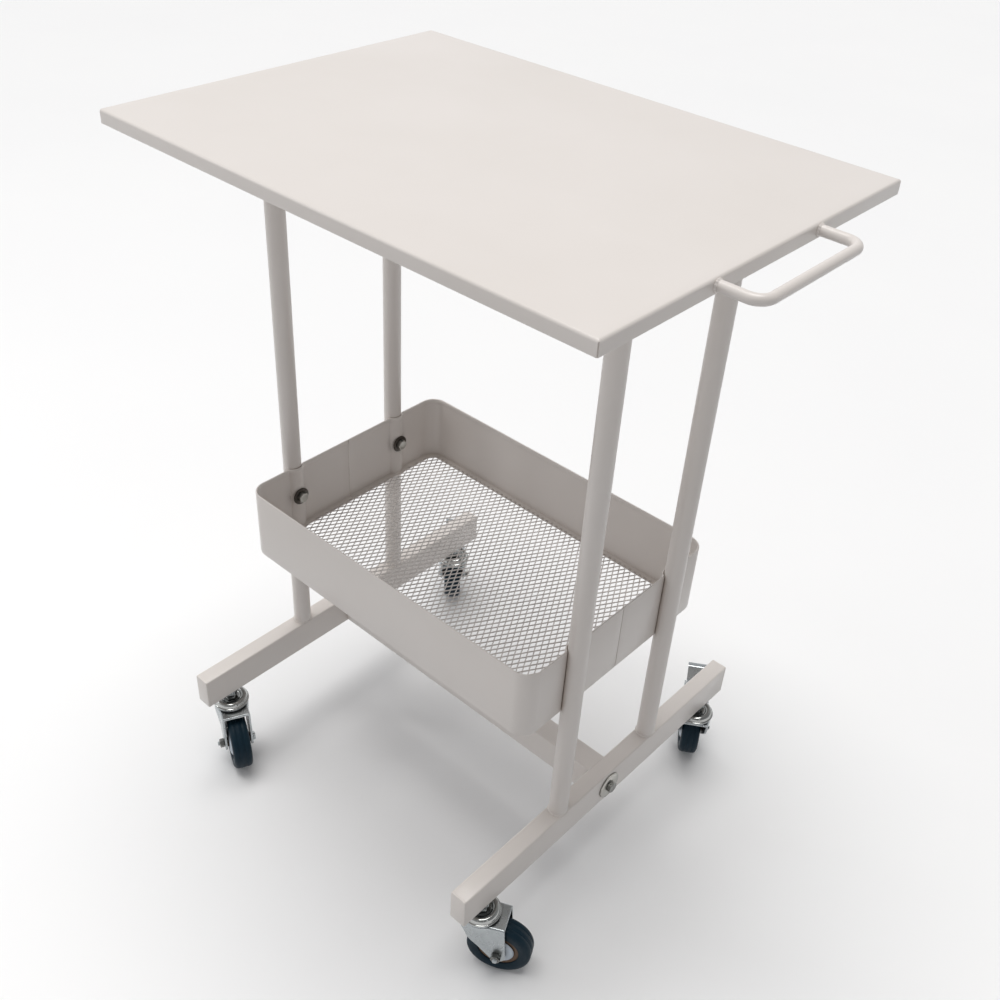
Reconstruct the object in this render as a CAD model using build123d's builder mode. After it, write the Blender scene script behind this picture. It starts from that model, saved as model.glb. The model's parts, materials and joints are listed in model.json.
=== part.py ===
"""Instrument cart: sheet-metal top with a side handle, two tubular end frames joined by a
crossbar, a hung basket with an expanded-metal floor, and four swivel casters.

Millimetres. +Z is up and the floor is Z = 0. X runs along the long side of the top with the
handle at +X, and Y runs from the front (-Y) to the rear (+Y). The origin is on the floor
below the centre of the top.
"""

from build123d import *
from math import cos, radians, sin
import os

# ---------------------------------------------------------------- top
TOP_LENGTH = 600.0
TOP_DEPTH = 440.0
TOP_Z = 835.0
TOP_SHEET = 1.2
TOP_FLANGE = 14.0
TOP_EDGE_RADIUS = 2.5
TOP_CORNER_RADIUS = 2.0

STIFFENER_WIDTH = 34.0
STIFFENER_DEPTH = 12.0
STIFFENER_SHEET = 1.5
STIFFENER_LIP = 10.0
STIFFENER_END_GAP = 2.0

# ---------------------------------------------------------------- handle
HANDLE_ROD_RADIUS = 5.0
HANDLE_HALF_SPAN = 76.0
HANDLE_REACH = 40.0
HANDLE_BEND_RADIUS = 14.0
HANDLE_DROP = 6.7
HANDLE_Z = TOP_Z - HANDLE_DROP
HANDLE_BEAD = 2.5
HANDLE_BEAD_WIDTH = 1.25

# ---------------------------------------------------------------- end frames
POST_X = 222.5
POST_Y = 82.7
POST_RADIUS = 11.0
POST_WALL = 1.5
POST_BEAD = 2.5
POST_BEAD_WIDTH = 1.75

LEG_WIDTH = 21.3
LEG_HEIGHT = 42.7
LEG_LENGTH = 492.6
LEG_BOTTOM = 108.6
LEG_TOP = LEG_BOTTOM + LEG_HEIGHT
LEG_WALL = 1.5
LEG_EDGE_RADIUS = 2.0

CROSSBAR_WIDTH = 30.0
CROSSBAR_HEIGHT = 40.0
CROSSBAR_WALL = 1.5
CROSSBAR_EDGE_RADIUS = 2.0
CROSSBAR_HALF = POST_X - LEG_WIDTH / 2
END_PLATE_THICKNESS = 6.0
END_PLATE_FIT = 0.1

# ---------------------------------------------------------------- basket
BASKET_LENGTH = 434.0
BASKET_DEPTH = 305.0
BASKET_BOTTOM = 313.7
BASKET_HEIGHT = 87.4
BASKET_CORNER_RADIUS = 20.0
BASKET_SHEET = 1.2
BASKET_LIP = 8.0
BASKET_HEM = 1.0
BASKET_HEM_HEIGHT = 6.0
BASKET_SEAM = 0.6
GROOVE_GAP = 0.3
GROOVE_EDGE_RADIUS = 2.5
MESH_THICKNESS = 1.0
MESH_EDGE_GAP = 1.5

# ---------------------------------------------------------------- fasteners
# Each tuple: shank radius, head across flats, head height, washer radius, washer thickness.
CROSSBAR_BOLT = (4.0, 13.0, 5.3, 17.0, 2.0)
BASKET_BOLT = (4.0, 12.0, 5.0, 11.0, 1.8)
CROSSBAR_BOLT_LENGTH = LEG_WIDTH + 10.0
BASKET_BOLT_LENGTH = 16.0
CROWN_SHARE = 1 / 8
BASKET_BOLT_Z = 360.0
BOLT_HOLE_GAP = 0.25
THREAD_GAP = 0.05
RIVET_NUT_RADIUS = 5.5
RIVET_NUT_LENGTH = 9.0

# ---------------------------------------------------------------- casters
STEM_X = POST_X
STEM_Y = 207.0
WHEEL_RADIUS = 37.5
WHEEL_HALF_WIDTH = 12.0
TYRE_SHOULDER = 4.0
CORE_RADIUS = 24.0
CORE_HALF_WIDTH = 10.4
CORE_BOSS_RADIUS = 6.5
CORE_BOSS_HALF = 15.2
GUARD_RADIUS = 18.5
GUARD_OUTER_Y = 13.2
GUARD_TAPER = 30.0
TRAIL = 25.0
RUNNING_GAP = 0.08
STATIC_GAP = 0.1

FORK_HALF_WIDTH = 18.0
FORK_SHEET = 2.5
FORK_INNER = FORK_HALF_WIDTH - FORK_SHEET
FORK_FRONT = -20.0
FORK_REAR = 32.0
CROWN_TOP = 86.0
CROWN_BOTTOM = CROWN_TOP - FORK_SHEET
CHEEK_KNEE = (-9.0, 60.0)
CHEEK_BOSS_RADIUS = 10.0
FORK_EDGE_RADIUS = 2.4
RACE_INNER = 13.0
RACE_OUTER = 21.5
RACE_HEIGHT = 2.6
DISH_SHEET = 2.0
DISH_RADIUS = 22.9
DISH_BOTTOM = 89.4
DISH_TOP = 96.6
DISH_FLAT = 9.0
DISH_RING = (12.0, 18.2)
DISH_SHOULDER = 4.8
DISH_FILLET = 0.7

STEM_RADIUS = 5.0
STEM_TOP = 129.0
STEM_HEAD_RADIUS = 8.5
STEM_HEAD_BOTTOM = 78.6
STEM_HEAD_TOP = 83.2
STEM_HEAD_FILLET = 1.25
COLLAR_FLATS = 14.0
COLLAR_BOTTOM = 93.5
COLLAR_TOP = 98.0
STEM_TIP_CHAMFER = 0.85
LOCK_NUT_FLATS = 17.0
LOCK_NUT_HEIGHT = 7.5
WELD_NUT_HEIGHT = 8.0

AXLE_RADIUS = 3.0
AXLE_FLATS = 10.0
AXLE_HEAD = 4.0
AXLE_NUT = 6.0
AXLE_END = 2.4

# ---------------------------------------------------------------- brake pedals
PIVOT_X = 22.0
PIVOT_Z = 78.5
PIVOT_RADIUS = 2.0
PIVOT_HEAD_RADIUS = 3.4
PIVOT_HEAD = 1.2
PEDAL_HALF_WIDTH = 14.8
PEDAL_SHEET = 1.5
PEDAL_ARM_RADIUS = 4.2
PEDAL_WEB_START = 27.0
PEDAL_KNEE_X = 63.0
PEDAL_RUN = 12.6
PEDAL_RISE = 14.6
PEDAL_LIP = 8.0
PEDAL_TREAD_HALF = 12.4
PEDAL_EAR = (58.5, 80.5, 4.2)
PEDAL_BEND_SHIFT = 0.6
PEDAL_TRAVEL = 10.0
SHOE_GAP = 0.4
SHOE_FROM = 45.0
SHOE_TO = 70.0

# Stem place of each caster and the direction its wheel trails, in degrees from +X.
CASTERS = {
    "front_left_caster": (-STEM_X, -STEM_Y, -26.0, False),
    "front_right_caster": (STEM_X, -STEM_Y, 27.0, False),
    "rear_left_caster": (-STEM_X, STEM_Y, 133.0, True),
    "rear_right_caster": (STEM_X, STEM_Y, 123.0, True),
}
POSTS = {
    "post_front_left": (-POST_X, -POST_Y),
    "post_front_right": (POST_X, -POST_Y),
    "post_rear_left": (-POST_X, POST_Y),
    "post_rear_right": (POST_X, POST_Y),
}
SIDES = {"left": -1, "right": 1}


def hex_radius(across_flats):
    """Corner radius of a hexagon from its width across flats."""
    return across_flats / 2 / cos(radians(30))


# ---------------------------------------------------------------- top and handle
def build_tabletop():
    """Folded tray: flat sheet with a flange turned down on all four sides."""
    with BuildPart() as tabletop:
        with BuildSketch(Plane.XY.offset(TOP_Z - TOP_FLANGE)):
            RectangleRounded(TOP_LENGTH, TOP_DEPTH, TOP_CORNER_RADIUS)
        extrude(amount=TOP_FLANGE)
        fillet(tabletop.faces().sort_by(Axis.Z)[-1].edges(), TOP_EDGE_RADIUS / 2)
        with BuildSketch(Plane.XY.offset(TOP_Z - TOP_FLANGE)):
            Rectangle(TOP_LENGTH - 2 * TOP_SHEET, TOP_DEPTH - 2 * TOP_SHEET)
        extrude(amount=TOP_FLANGE - TOP_SHEET, mode=Mode.SUBTRACT)
    return tabletop.part


def build_stiffener(side):
    """Hat channel under the top that the two posts of one end frame are welded to."""
    under_top = TOP_Z - TOP_SHEET
    length = TOP_DEPTH - 2 * TOP_SHEET - 2 * STIFFENER_END_GAP
    inner_width = STIFFENER_WIDTH - 2 * STIFFENER_SHEET
    with BuildPart() as stiffener:
        with BuildSketch(Plane.XZ.offset(-length / 2)):
            with Locations((side * POST_X, under_top)):
                Rectangle(
                    STIFFENER_WIDTH + 2 * STIFFENER_LIP,
                    STIFFENER_SHEET,
                    align=(Align.CENTER, Align.MAX),
                )
                Rectangle(STIFFENER_WIDTH, STIFFENER_DEPTH, align=(Align.CENTER, Align.MAX))
                Rectangle(
                    inner_width,
                    STIFFENER_DEPTH - STIFFENER_SHEET,
                    align=(Align.CENTER, Align.MAX),
                    mode=Mode.SUBTRACT,
                )
        extrude(amount=length)
    return stiffener.part


def build_handle():
    """Round-bar U welded to the flange, with a bead at each foot."""
    foot_x = TOP_LENGTH / 2
    bar_x = foot_x + HANDLE_REACH
    with BuildPart() as handle:
        with BuildLine(Plane.XY.offset(HANDLE_Z)) as rod_axis:
            FilletPolyline(
                (foot_x, -HANDLE_HALF_SPAN),
                (bar_x, -HANDLE_HALF_SPAN),
                (bar_x, HANDLE_HALF_SPAN),
                (foot_x, HANDLE_HALF_SPAN),
                radius=HANDLE_BEND_RADIUS,
            )
        with BuildSketch(rod_axis.line ^ 0):
            Circle(HANDLE_ROD_RADIUS)
        sweep()
        for y in (-HANDLE_HALF_SPAN, HANDLE_HALF_SPAN):
            with Locations(Plane(origin=(foot_x, y, HANDLE_Z), z_dir=(1, 0, 0))):
                Cone(
                    HANDLE_ROD_RADIUS + HANDLE_BEAD_WIDTH,
                    HANDLE_ROD_RADIUS,
                    HANDLE_BEAD,
                    align=(Align.CENTER, Align.CENTER, Align.MIN),
                )
    return handle.part


# ---------------------------------------------------------------- end frames
def build_post(x, y):
    """Round tube from the leg to the stiffener, with a weld bead round its foot."""
    top = TOP_Z - TOP_SHEET - STIFFENER_DEPTH
    inward = -1 if x > 0 else 1
    with BuildPart() as post:
        with BuildSketch(Plane.XY.offset(LEG_TOP)):
            with Locations((x, y)):
                Circle(POST_RADIUS)
        extrude(amount=top - LEG_TOP)
        with Locations((x, y, LEG_TOP)):
            Cone(
                POST_RADIUS + POST_BEAD_WIDTH,
                POST_RADIUS,
                POST_BEAD,
                align=(Align.CENTER, Align.CENTER, Align.MIN),
            )
        with BuildSketch(Plane.XY.offset(LEG_TOP)):
            with Locations((x, y)):
                Circle(POST_RADIUS - POST_WALL)
        extrude(amount=top - LEG_TOP, mode=Mode.SUBTRACT)
        with BuildSketch(Plane(origin=(x, y, BASKET_BOLT_Z), z_dir=(inward, 0, 0))):
            Circle(RIVET_NUT_RADIUS + THREAD_GAP)
        extrude(amount=POST_RADIUS, mode=Mode.SUBTRACT)
    return post.part


def build_leg(side):
    """Rectangular tube foot on edge, closed at both ends, bored for stems and bar bolt."""
    x = side * POST_X
    outline = Plane.XY.offset(LEG_BOTTOM)
    with BuildPart() as leg:
        with BuildSketch(outline):
            with Locations((x, 0)):
                Rectangle(LEG_WIDTH, LEG_LENGTH)
        extrude(amount=LEG_HEIGHT)
        fillet(leg.edges().filter_by(Axis.Y), LEG_EDGE_RADIUS)
        with BuildSketch(outline.offset(LEG_WALL)):
            with Locations((x, 0)):
                Rectangle(LEG_WIDTH - 2 * LEG_WALL, LEG_LENGTH - 2 * LEG_WALL)
        extrude(amount=LEG_HEIGHT - 2 * LEG_WALL, mode=Mode.SUBTRACT)
        with BuildSketch(outline):
            with Locations((x, -STEM_Y), (x, STEM_Y)):
                Circle(STEM_RADIUS + BOLT_HOLE_GAP)
        extrude(amount=LEG_WALL, mode=Mode.SUBTRACT)
        with BuildSketch(Plane(origin=(x, 0, LEG_BOTTOM + LEG_HEIGHT / 2), z_dir=(1, 0, 0))):
            Circle(CROSSBAR_BOLT[0] + BOLT_HOLE_GAP)
        extrude(amount=LEG_WIDTH, both=True, mode=Mode.SUBTRACT)
    return leg.part


def build_crossbar():
    """Rectangular tube between the two legs, flush with their top."""
    centre_z = LEG_TOP - CROSSBAR_HEIGHT / 2
    with BuildPart() as crossbar:
        with BuildSketch(Plane(origin=(0, 0, centre_z), x_dir=(0, 1, 0), z_dir=(1, 0, 0))):
            RectangleRounded(CROSSBAR_WIDTH, CROSSBAR_HEIGHT, CROSSBAR_EDGE_RADIUS)
            Rectangle(
                CROSSBAR_WIDTH - 2 * CROSSBAR_WALL,
                CROSSBAR_HEIGHT - 2 * CROSSBAR_WALL,
                mode=Mode.SUBTRACT,
            )
        extrude(amount=CROSSBAR_HALF, both=True)
    return crossbar.part


def build_crossbar_end_plates():
    """Threaded plates welded inside the two ends of the crossbar."""
    centre_z = LEG_TOP - CROSSBAR_HEIGHT / 2
    bolt_z = LEG_BOTTOM + LEG_HEIGHT / 2
    inset = 2 * (CROSSBAR_WALL + END_PLATE_FIT)
    with BuildPart() as plates:
        for side in SIDES.values():
            end = Plane(
                origin=(side * CROSSBAR_HALF, 0, centre_z),
                x_dir=(0, 1, 0),
                z_dir=(-side, 0, 0),
            )
            with BuildSketch(end):
                Rectangle(CROSSBAR_WIDTH - inset, CROSSBAR_HEIGHT - inset)
                rise = end.to_local_coords(Vector(side * CROSSBAR_HALF, 0, bolt_z))
                with Locations((rise.X, rise.Y)):
                    Circle(CROSSBAR_BOLT[0] + THREAD_GAP, mode=Mode.SUBTRACT)
            extrude(amount=END_PLATE_THICKNESS)
    return plates.part


def seats(x, z, ys, faces_inward):
    """Planes at the given places on both end frames, pointing along or against the centre."""
    turn = -1 if faces_inward else 1
    return [
        Plane(origin=(side * x, y, z), x_dir=(0, 1, 0), z_dir=(turn * side, 0, 0))
        for side in SIDES.values()
        for y in ys
    ]


def build_bolts(places, size, length):
    """Hexagon bolts: the plane of each place is the top of its washer."""
    shank, flats, head, _, _ = size
    with BuildPart() as bolts:
        for place in places:
            with BuildSketch(place):
                RegularPolygon(hex_radius(flats), 6)
            extrude(amount=head)
            with BuildSketch(place):
                Circle(shank)
            extrude(amount=-length)
            with BuildSketch(place.offset(head)):
                Circle(flats / 2 - head * CROWN_SHARE)
            extrude(amount=head * CROWN_SHARE)
    return bolts.part


def build_washers(places, size):
    """Flat washers lying under the bolt heads."""
    shank, _, _, radius, thickness = size
    with BuildPart() as washers:
        for place in places:
            with BuildSketch(place):
                Circle(radius)
                Circle(shank + BOLT_HOLE_GAP, mode=Mode.SUBTRACT)
            extrude(amount=-thickness)
    return washers.part


def build_rivet_nuts():
    """Threaded inserts set in the posts for the basket bolts."""
    with BuildPart() as nuts:
        for place in seats(POST_X - POST_RADIUS + POST_WALL, BASKET_BOLT_Z, (-POST_Y, POST_Y), True):
            with BuildSketch(place):
                Circle(RIVET_NUT_RADIUS)
                Circle(BASKET_BOLT[0] + THREAD_GAP, mode=Mode.SUBTRACT)
            extrude(amount=-RIVET_NUT_LENGTH)
    return nuts.part


# ---------------------------------------------------------------- basket
def basket_outline(inset):
    """Face inside the basket wall at the given inset: rounded rectangle grooved for the posts."""
    groove = POST_RADIUS + GROOVE_GAP
    with BuildSketch() as outline:
        RectangleRounded(BASKET_LENGTH, BASKET_DEPTH, BASKET_CORNER_RADIUS)
        with Locations(*POSTS.values()):
            Circle(groove, mode=Mode.SUBTRACT)
        mouths = [
            v
            for v in outline.vertices()
            if abs(abs(v.Y) - POST_Y) < groove and abs(v.X) > POST_X - groove
        ]
        fillet(mouths, GROOVE_EDGE_RADIUS)
        if inset:
            offset(amount=-inset, mode=Mode.REPLACE)
    return outline.sketch


def build_basket_half(side):
    """One U-shaped half: wall, hemmed rim and bottom lip. The halves meet in the end walls."""
    rim_z = BASKET_BOTTOM + BASKET_HEIGHT
    hem_z = rim_z - BASKET_HEM_HEIGHT
    wall = basket_outline(0)
    inside = basket_outline(BASKET_SHEET)
    with BuildPart() as half:
        with BuildSketch(Plane.XY.offset(BASKET_BOTTOM)):
            add(wall)
        extrude(amount=BASKET_HEIGHT)
        with BuildSketch(Plane.XY.offset(BASKET_BOTTOM + BASKET_SHEET)):
            add(inside)
        extrude(amount=BASKET_HEIGHT - BASKET_SHEET - BASKET_HEM_HEIGHT, mode=Mode.SUBTRACT)
        with BuildSketch(Plane.XY.offset(hem_z)):
            add(basket_outline(BASKET_SHEET + BASKET_HEM))
        extrude(amount=BASKET_HEM_HEIGHT, mode=Mode.SUBTRACT)
        with BuildSketch(Plane.XY.offset(BASKET_BOTTOM)):
            add(basket_outline(BASKET_LIP))
        extrude(amount=BASKET_SHEET, mode=Mode.SUBTRACT)
        for place in seats(POST_X - POST_RADIUS, BASKET_BOLT_Z, (-POST_Y, POST_Y), True):
            with BuildSketch(place):
                Circle(BASKET_BOLT[0] + BOLT_HOLE_GAP)
            extrude(amount=POST_RADIUS, both=True, mode=Mode.SUBTRACT)
        with BuildSketch(Plane.XY.offset(BASKET_BOTTOM)):
            with Locations((0, side * BASKET_SEAM / 2)):
                Rectangle(
                    BASKET_LENGTH,
                    BASKET_DEPTH,
                    align=(Align.CENTER, Align.MIN if side > 0 else Align.MAX),
                )
        extrude(amount=BASKET_HEIGHT, mode=Mode.INTERSECT)
    return half.part


def build_basket_mesh():
    """Expanded-metal floor sheet lying on the bottom lip of the two halves."""
    with BuildPart() as mesh:
        with BuildSketch(Plane.XY.offset(BASKET_BOTTOM + BASKET_SHEET)):
            add(basket_outline(BASKET_SHEET + MESH_EDGE_GAP))
        extrude(amount=MESH_THICKNESS)
    return mesh.part


# ---------------------------------------------------------------- nuts on the caster stems
def build_stem_nuts(bottom, height):
    """Hexagon nuts on the four stems, their flats along the leg."""
    with BuildPart() as nuts:
        with BuildSketch(Plane.XY.offset(bottom)):
            with GridLocations(2 * STEM_X, 2 * STEM_Y, 2, 2):
                RegularPolygon(hex_radius(LOCK_NUT_FLATS), 6, rotation=30)
                Circle(STEM_RADIUS + THREAD_GAP, mode=Mode.SUBTRACT)
        extrude(amount=height)
    return nuts.part


# ---------------------------------------------------------------- caster pieces
# Each is drawn with its stem on the Z axis and its wheel trailing along +X.
def build_stem():
    """Threaded stem with a hexagon collar and a riveted lower head."""
    with BuildPart() as stem:
        with BuildSketch(Plane.XY.offset(STEM_HEAD_BOTTOM)):
            Circle(STEM_RADIUS)
        extrude(amount=STEM_TOP - STEM_HEAD_BOTTOM)
        with BuildSketch(Plane.XY.offset(STEM_HEAD_BOTTOM)):
            Circle(STEM_HEAD_RADIUS)
        extrude(amount=STEM_HEAD_TOP - STEM_HEAD_BOTTOM)
        fillet(stem.faces().sort_by(Axis.Z)[0].edges(), STEM_HEAD_FILLET)
        with BuildSketch(Plane.XY.offset(COLLAR_BOTTOM)):
            RegularPolygon(hex_radius(COLLAR_FLATS), 6)
        extrude(amount=COLLAR_TOP - COLLAR_BOTTOM)
        chamfer(stem.faces().sort_by(Axis.Z)[-1].edges(), STEM_TIP_CHAMFER)
    return stem.part


def build_upper_race():
    """Pressed dish over the bearing: low centre, raised ring and turned-down rim."""
    bore = STEM_RADIUS + THREAD_GAP
    floor_z = COLLAR_BOTTOM - DISH_SHEET
    ring_in, ring_out = DISH_RING
    inner_rim = DISH_RADIUS - DISH_SHEET
    with BuildPart() as race:
        with BuildSketch(Plane.XZ):
            with BuildLine():
                Polyline(
                    (bore, floor_z),
                    (DISH_FLAT, floor_z),
                    (ring_in + DISH_SHEET / 2, DISH_TOP - DISH_SHEET),
                    (ring_out - DISH_SHEET / 2, DISH_TOP - DISH_SHEET),
                    (inner_rim, DISH_TOP - DISH_SHEET - DISH_SHOULDER + DISH_FILLET),
                    (inner_rim, DISH_BOTTOM),
                    (DISH_RADIUS, DISH_BOTTOM),
                    (DISH_RADIUS, DISH_TOP - DISH_SHOULDER),
                    (ring_out, DISH_TOP),
                    (ring_in, DISH_TOP),
                    (DISH_FLAT - DISH_FILLET, COLLAR_BOTTOM),
                    (bore, COLLAR_BOTTOM),
                    close=True,
                )
            face = make_face()
            fillet([v for v in face.vertices() if v.X > STEM_RADIUS + DISH_FILLET], DISH_FILLET)
        revolve(axis=Axis.Z)
    return race.part


def build_fork(braked):
    """Pressed fork: flat crown with a raised race, and two cheeks that taper to the axle."""
    with BuildPart() as fork:
        with BuildSketch(Plane.XZ):
            with BuildLine():
                Polyline(
                    (FORK_FRONT, CROWN_TOP),
                    (FORK_REAR, CROWN_TOP),
                    CHEEK_KNEE,
                    close=True,
                )
            with Locations((TRAIL, WHEEL_RADIUS)):
                Circle(CHEEK_BOSS_RADIUS)
            make_hull()
        extrude(amount=FORK_HALF_WIDTH, both=True)
        crown = fork.faces().sort_by(Axis.Z)[-1]
        fillet(crown.edges().filter_by(Axis.X), FORK_EDGE_RADIUS)
        with BuildSketch(Plane.XY.offset(CROWN_BOTTOM)):
            with Locations((TRAIL, 0)):
                Rectangle(4 * WHEEL_RADIUS, 2 * FORK_INNER)
        extrude(amount=-CROWN_BOTTOM, mode=Mode.SUBTRACT)
        with BuildSketch(Plane.XY.offset(CROWN_TOP)):
            Circle(RACE_OUTER)
            Circle(RACE_INNER, mode=Mode.SUBTRACT)
        raised = extrude(amount=RACE_HEIGHT, mode=Mode.PRIVATE)
        add(raised & Box(4 * WHEEL_RADIUS, 2 * FORK_HALF_WIDTH, 4 * CROWN_TOP, mode=Mode.PRIVATE))
        with BuildSketch(Plane.XY.offset(CROWN_BOTTOM)):
            Circle(STEM_RADIUS + RUNNING_GAP)
        extrude(amount=FORK_SHEET, mode=Mode.SUBTRACT)
        with BuildSketch(Plane.XZ):
            with Locations((TRAIL, WHEEL_RADIUS)):
                Circle(AXLE_RADIUS + STATIC_GAP)
            if braked:
                with Locations((PIVOT_X, PIVOT_Z)):
                    Circle(PIVOT_RADIUS + STATIC_GAP)
        extrude(amount=FORK_HALF_WIDTH, both=True, mode=Mode.SUBTRACT)
    return fork.part


def build_axle_bolt():
    """Hexagon bolt through both cheeks and the wheel."""
    outer = Plane(origin=(TRAIL, FORK_HALF_WIDTH, WHEEL_RADIUS), z_dir=(0, 1, 0))
    with BuildPart() as bolt:
        with BuildSketch(outer):
            RegularPolygon(hex_radius(AXLE_FLATS), 6)
        extrude(amount=AXLE_HEAD)
        with BuildSketch(outer):
            Circle(AXLE_RADIUS)
        extrude(amount=-(2 * FORK_HALF_WIDTH + AXLE_NUT + AXLE_END))
    return bolt.part


def build_axle_nut():
    """Hexagon nut on the free end of the axle bolt."""
    outer = Plane(origin=(TRAIL, -FORK_HALF_WIDTH, WHEEL_RADIUS), z_dir=(0, -1, 0))
    with BuildPart() as nut:
        with BuildSketch(outer):
            RegularPolygon(hex_radius(AXLE_FLATS), 6)
            Circle(AXLE_RADIUS + THREAD_GAP, mode=Mode.SUBTRACT)
        extrude(amount=AXLE_NUT)
    return nut.part


def build_tyre():
    """Solid rubber ring with rounded shoulders."""
    axle = Plane(origin=(TRAIL, 0, WHEEL_RADIUS), z_dir=(0, 1, 0))
    with BuildPart() as tyre:
        with BuildSketch(axle):
            Circle(WHEEL_RADIUS)
            Circle(CORE_RADIUS, mode=Mode.SUBTRACT)
        extrude(amount=WHEEL_HALF_WIDTH, both=True)
        rims = tyre.edges().filter_by(GeomType.CIRCLE).sort_by(SortBy.RADIUS)[-2:]
        fillet(rims, TYRE_SHOULDER)
    return tyre.part


def build_wheel_core():
    """Moulded wheel centre: disc inside the tyre and a long hub boss."""
    axle = Plane(origin=(TRAIL, 0, WHEEL_RADIUS), z_dir=(0, 1, 0))
    with BuildPart() as core:
        with BuildSketch(axle):
            Circle(CORE_RADIUS)
        extrude(amount=CORE_HALF_WIDTH, both=True)
        with BuildSketch(axle):
            Circle(CORE_BOSS_RADIUS)
        extrude(amount=CORE_BOSS_HALF, both=True)
        with BuildSketch(axle):
            Circle(AXLE_RADIUS + RUNNING_GAP)
        extrude(amount=CORE_BOSS_HALF, both=True, mode=Mode.SUBTRACT)
    return core.part


def build_hub_guards():
    """Thin domed discs pressed on the hub boss on both sides of the core."""
    with BuildPart() as guards:
        for side in (-1, 1):
            face = Plane(
                origin=(TRAIL, side * CORE_HALF_WIDTH, WHEEL_RADIUS),
                z_dir=(0, side, 0),
            )
            with BuildSketch(face):
                Circle(GUARD_RADIUS)
                Circle(CORE_BOSS_RADIUS + THREAD_GAP, mode=Mode.SUBTRACT)
            extrude(amount=GUARD_OUTER_Y - CORE_HALF_WIDTH, taper=GUARD_TAPER)
    return guards.part


def build_pivot_pin():
    """Headed pin across the fork that the brake pedal turns on."""
    with BuildPart() as pin:
        with BuildSketch(Plane.XZ):
            with Locations((PIVOT_X, PIVOT_Z)):
                Circle(PIVOT_RADIUS)
        extrude(amount=FORK_HALF_WIDTH, both=True)
        for side in (-1, 1):
            outer = Plane(origin=(PIVOT_X, side * FORK_HALF_WIDTH, PIVOT_Z), z_dir=(0, side, 0))
            with BuildSketch(outer):
                Circle(PIVOT_HEAD_RADIUS)
            extrude(amount=PIVOT_HEAD)
            fillet(pin.faces().sort_by(Axis.Y)[-1 if side > 0 else 0].edges(), PIVOT_HEAD / 2)
    return pin.part


def build_brake_pedal():
    """Folded lever: tread with a turned lip, two side arms and a shoe curved to the tyre."""
    web_top = PIVOT_Z + PEDAL_ARM_RADIUS
    web_bottom = web_top - PEDAL_SHEET
    tread_x = PEDAL_KNEE_X + PEDAL_RUN
    tread_z = web_top + PEDAL_RISE
    turn = radians(PEDAL_TRAVEL)
    dx = TRAIL - PIVOT_X
    dz = WHEEL_RADIUS - PIVOT_Z
    shoe_x = PIVOT_X + dx * cos(turn) - dz * sin(turn)
    shoe_z = PIVOT_Z + dx * sin(turn) + dz * cos(turn)
    shoe_radius = WHEEL_RADIUS + SHOE_GAP
    outer_radius = shoe_radius + PEDAL_SHEET
    beyond = 2 * outer_radius
    low_turn = radians(SHOE_FROM)
    high_turn = radians(SHOE_TO)
    shoe_low = (shoe_x + outer_radius * cos(low_turn), shoe_z + outer_radius * sin(low_turn))
    shoe_high = (shoe_x + shoe_radius * cos(high_turn), shoe_z + shoe_radius * sin(high_turn))
    with BuildPart() as pedal:
        with BuildSketch(Plane.XZ):
            with BuildLine():
                Polyline(
                    (PEDAL_WEB_START, web_top),
                    (PEDAL_KNEE_X, web_top),
                    (tread_x, tread_z),
                    (tread_x + PEDAL_LIP, tread_z),
                    (tread_x + PEDAL_LIP, tread_z - PEDAL_SHEET),
                    (tread_x + PEDAL_BEND_SHIFT, tread_z - PEDAL_SHEET),
                    (PEDAL_KNEE_X + PEDAL_BEND_SHIFT, web_bottom),
                    (PEDAL_WEB_START, web_bottom),
                    close=True,
                )
            make_face()
        extrude(amount=PEDAL_TREAD_HALF, both=True)
        with BuildSketch(Plane.XZ):
            with BuildLine():
                Polyline(
                    (PEDAL_WEB_START, web_top),
                    (PEDAL_EAR[0], web_top),
                    (PEDAL_EAR[0], web_bottom),
                    (PEDAL_WEB_START, web_bottom),
                    close=True,
                )
            make_face()
        extrude(amount=PEDAL_HALF_WIDTH, both=True)
        with BuildSketch(Plane.XZ):
            with Locations((shoe_x, shoe_z)):
                Circle(outer_radius)
                Circle(shoe_radius, mode=Mode.SUBTRACT)
            with BuildLine():
                Polyline(
                    (shoe_x, shoe_z),
                    (shoe_x + beyond * cos(low_turn), shoe_z + beyond * sin(low_turn)),
                    (shoe_x + beyond * cos(high_turn), shoe_z + beyond * sin(high_turn)),
                    close=True,
                )
            make_face(mode=Mode.INTERSECT)
        extrude(amount=PEDAL_HALF_WIDTH, both=True)
        for side in (-1, 1):
            arm = Plane.XZ.offset(-side * PEDAL_HALF_WIDTH)
            with BuildSketch(arm):
                with BuildLine():
                    Polyline(
                        (PIVOT_X, web_top),
                        (PEDAL_EAR[0], web_top),
                        shoe_low,
                        shoe_high,
                        close=True,
                    )
                with Locations((PIVOT_X, PIVOT_Z)):
                    Circle(PEDAL_ARM_RADIUS)
                with Locations(PEDAL_EAR[:2]):
                    Circle(PEDAL_EAR[2])
                make_hull()
                with Locations((PIVOT_X, PIVOT_Z)):
                    Circle(PIVOT_RADIUS + RUNNING_GAP, mode=Mode.SUBTRACT)
            extrude(amount=side * PEDAL_SHEET)
    return pedal.part


# ---------------------------------------------------------------- assembly
def placed(shape, station):
    """The piece moved from the caster's own axes to its place under the leg."""
    with BuildPart() as piece:
        with Locations(station):
            add(shape)
    return piece.part


def write(shape, label):
    """Label the piece and write its own file."""
    shape.label = label
    export_step(shape, os.path.join("parts", label + ".step"))


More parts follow.
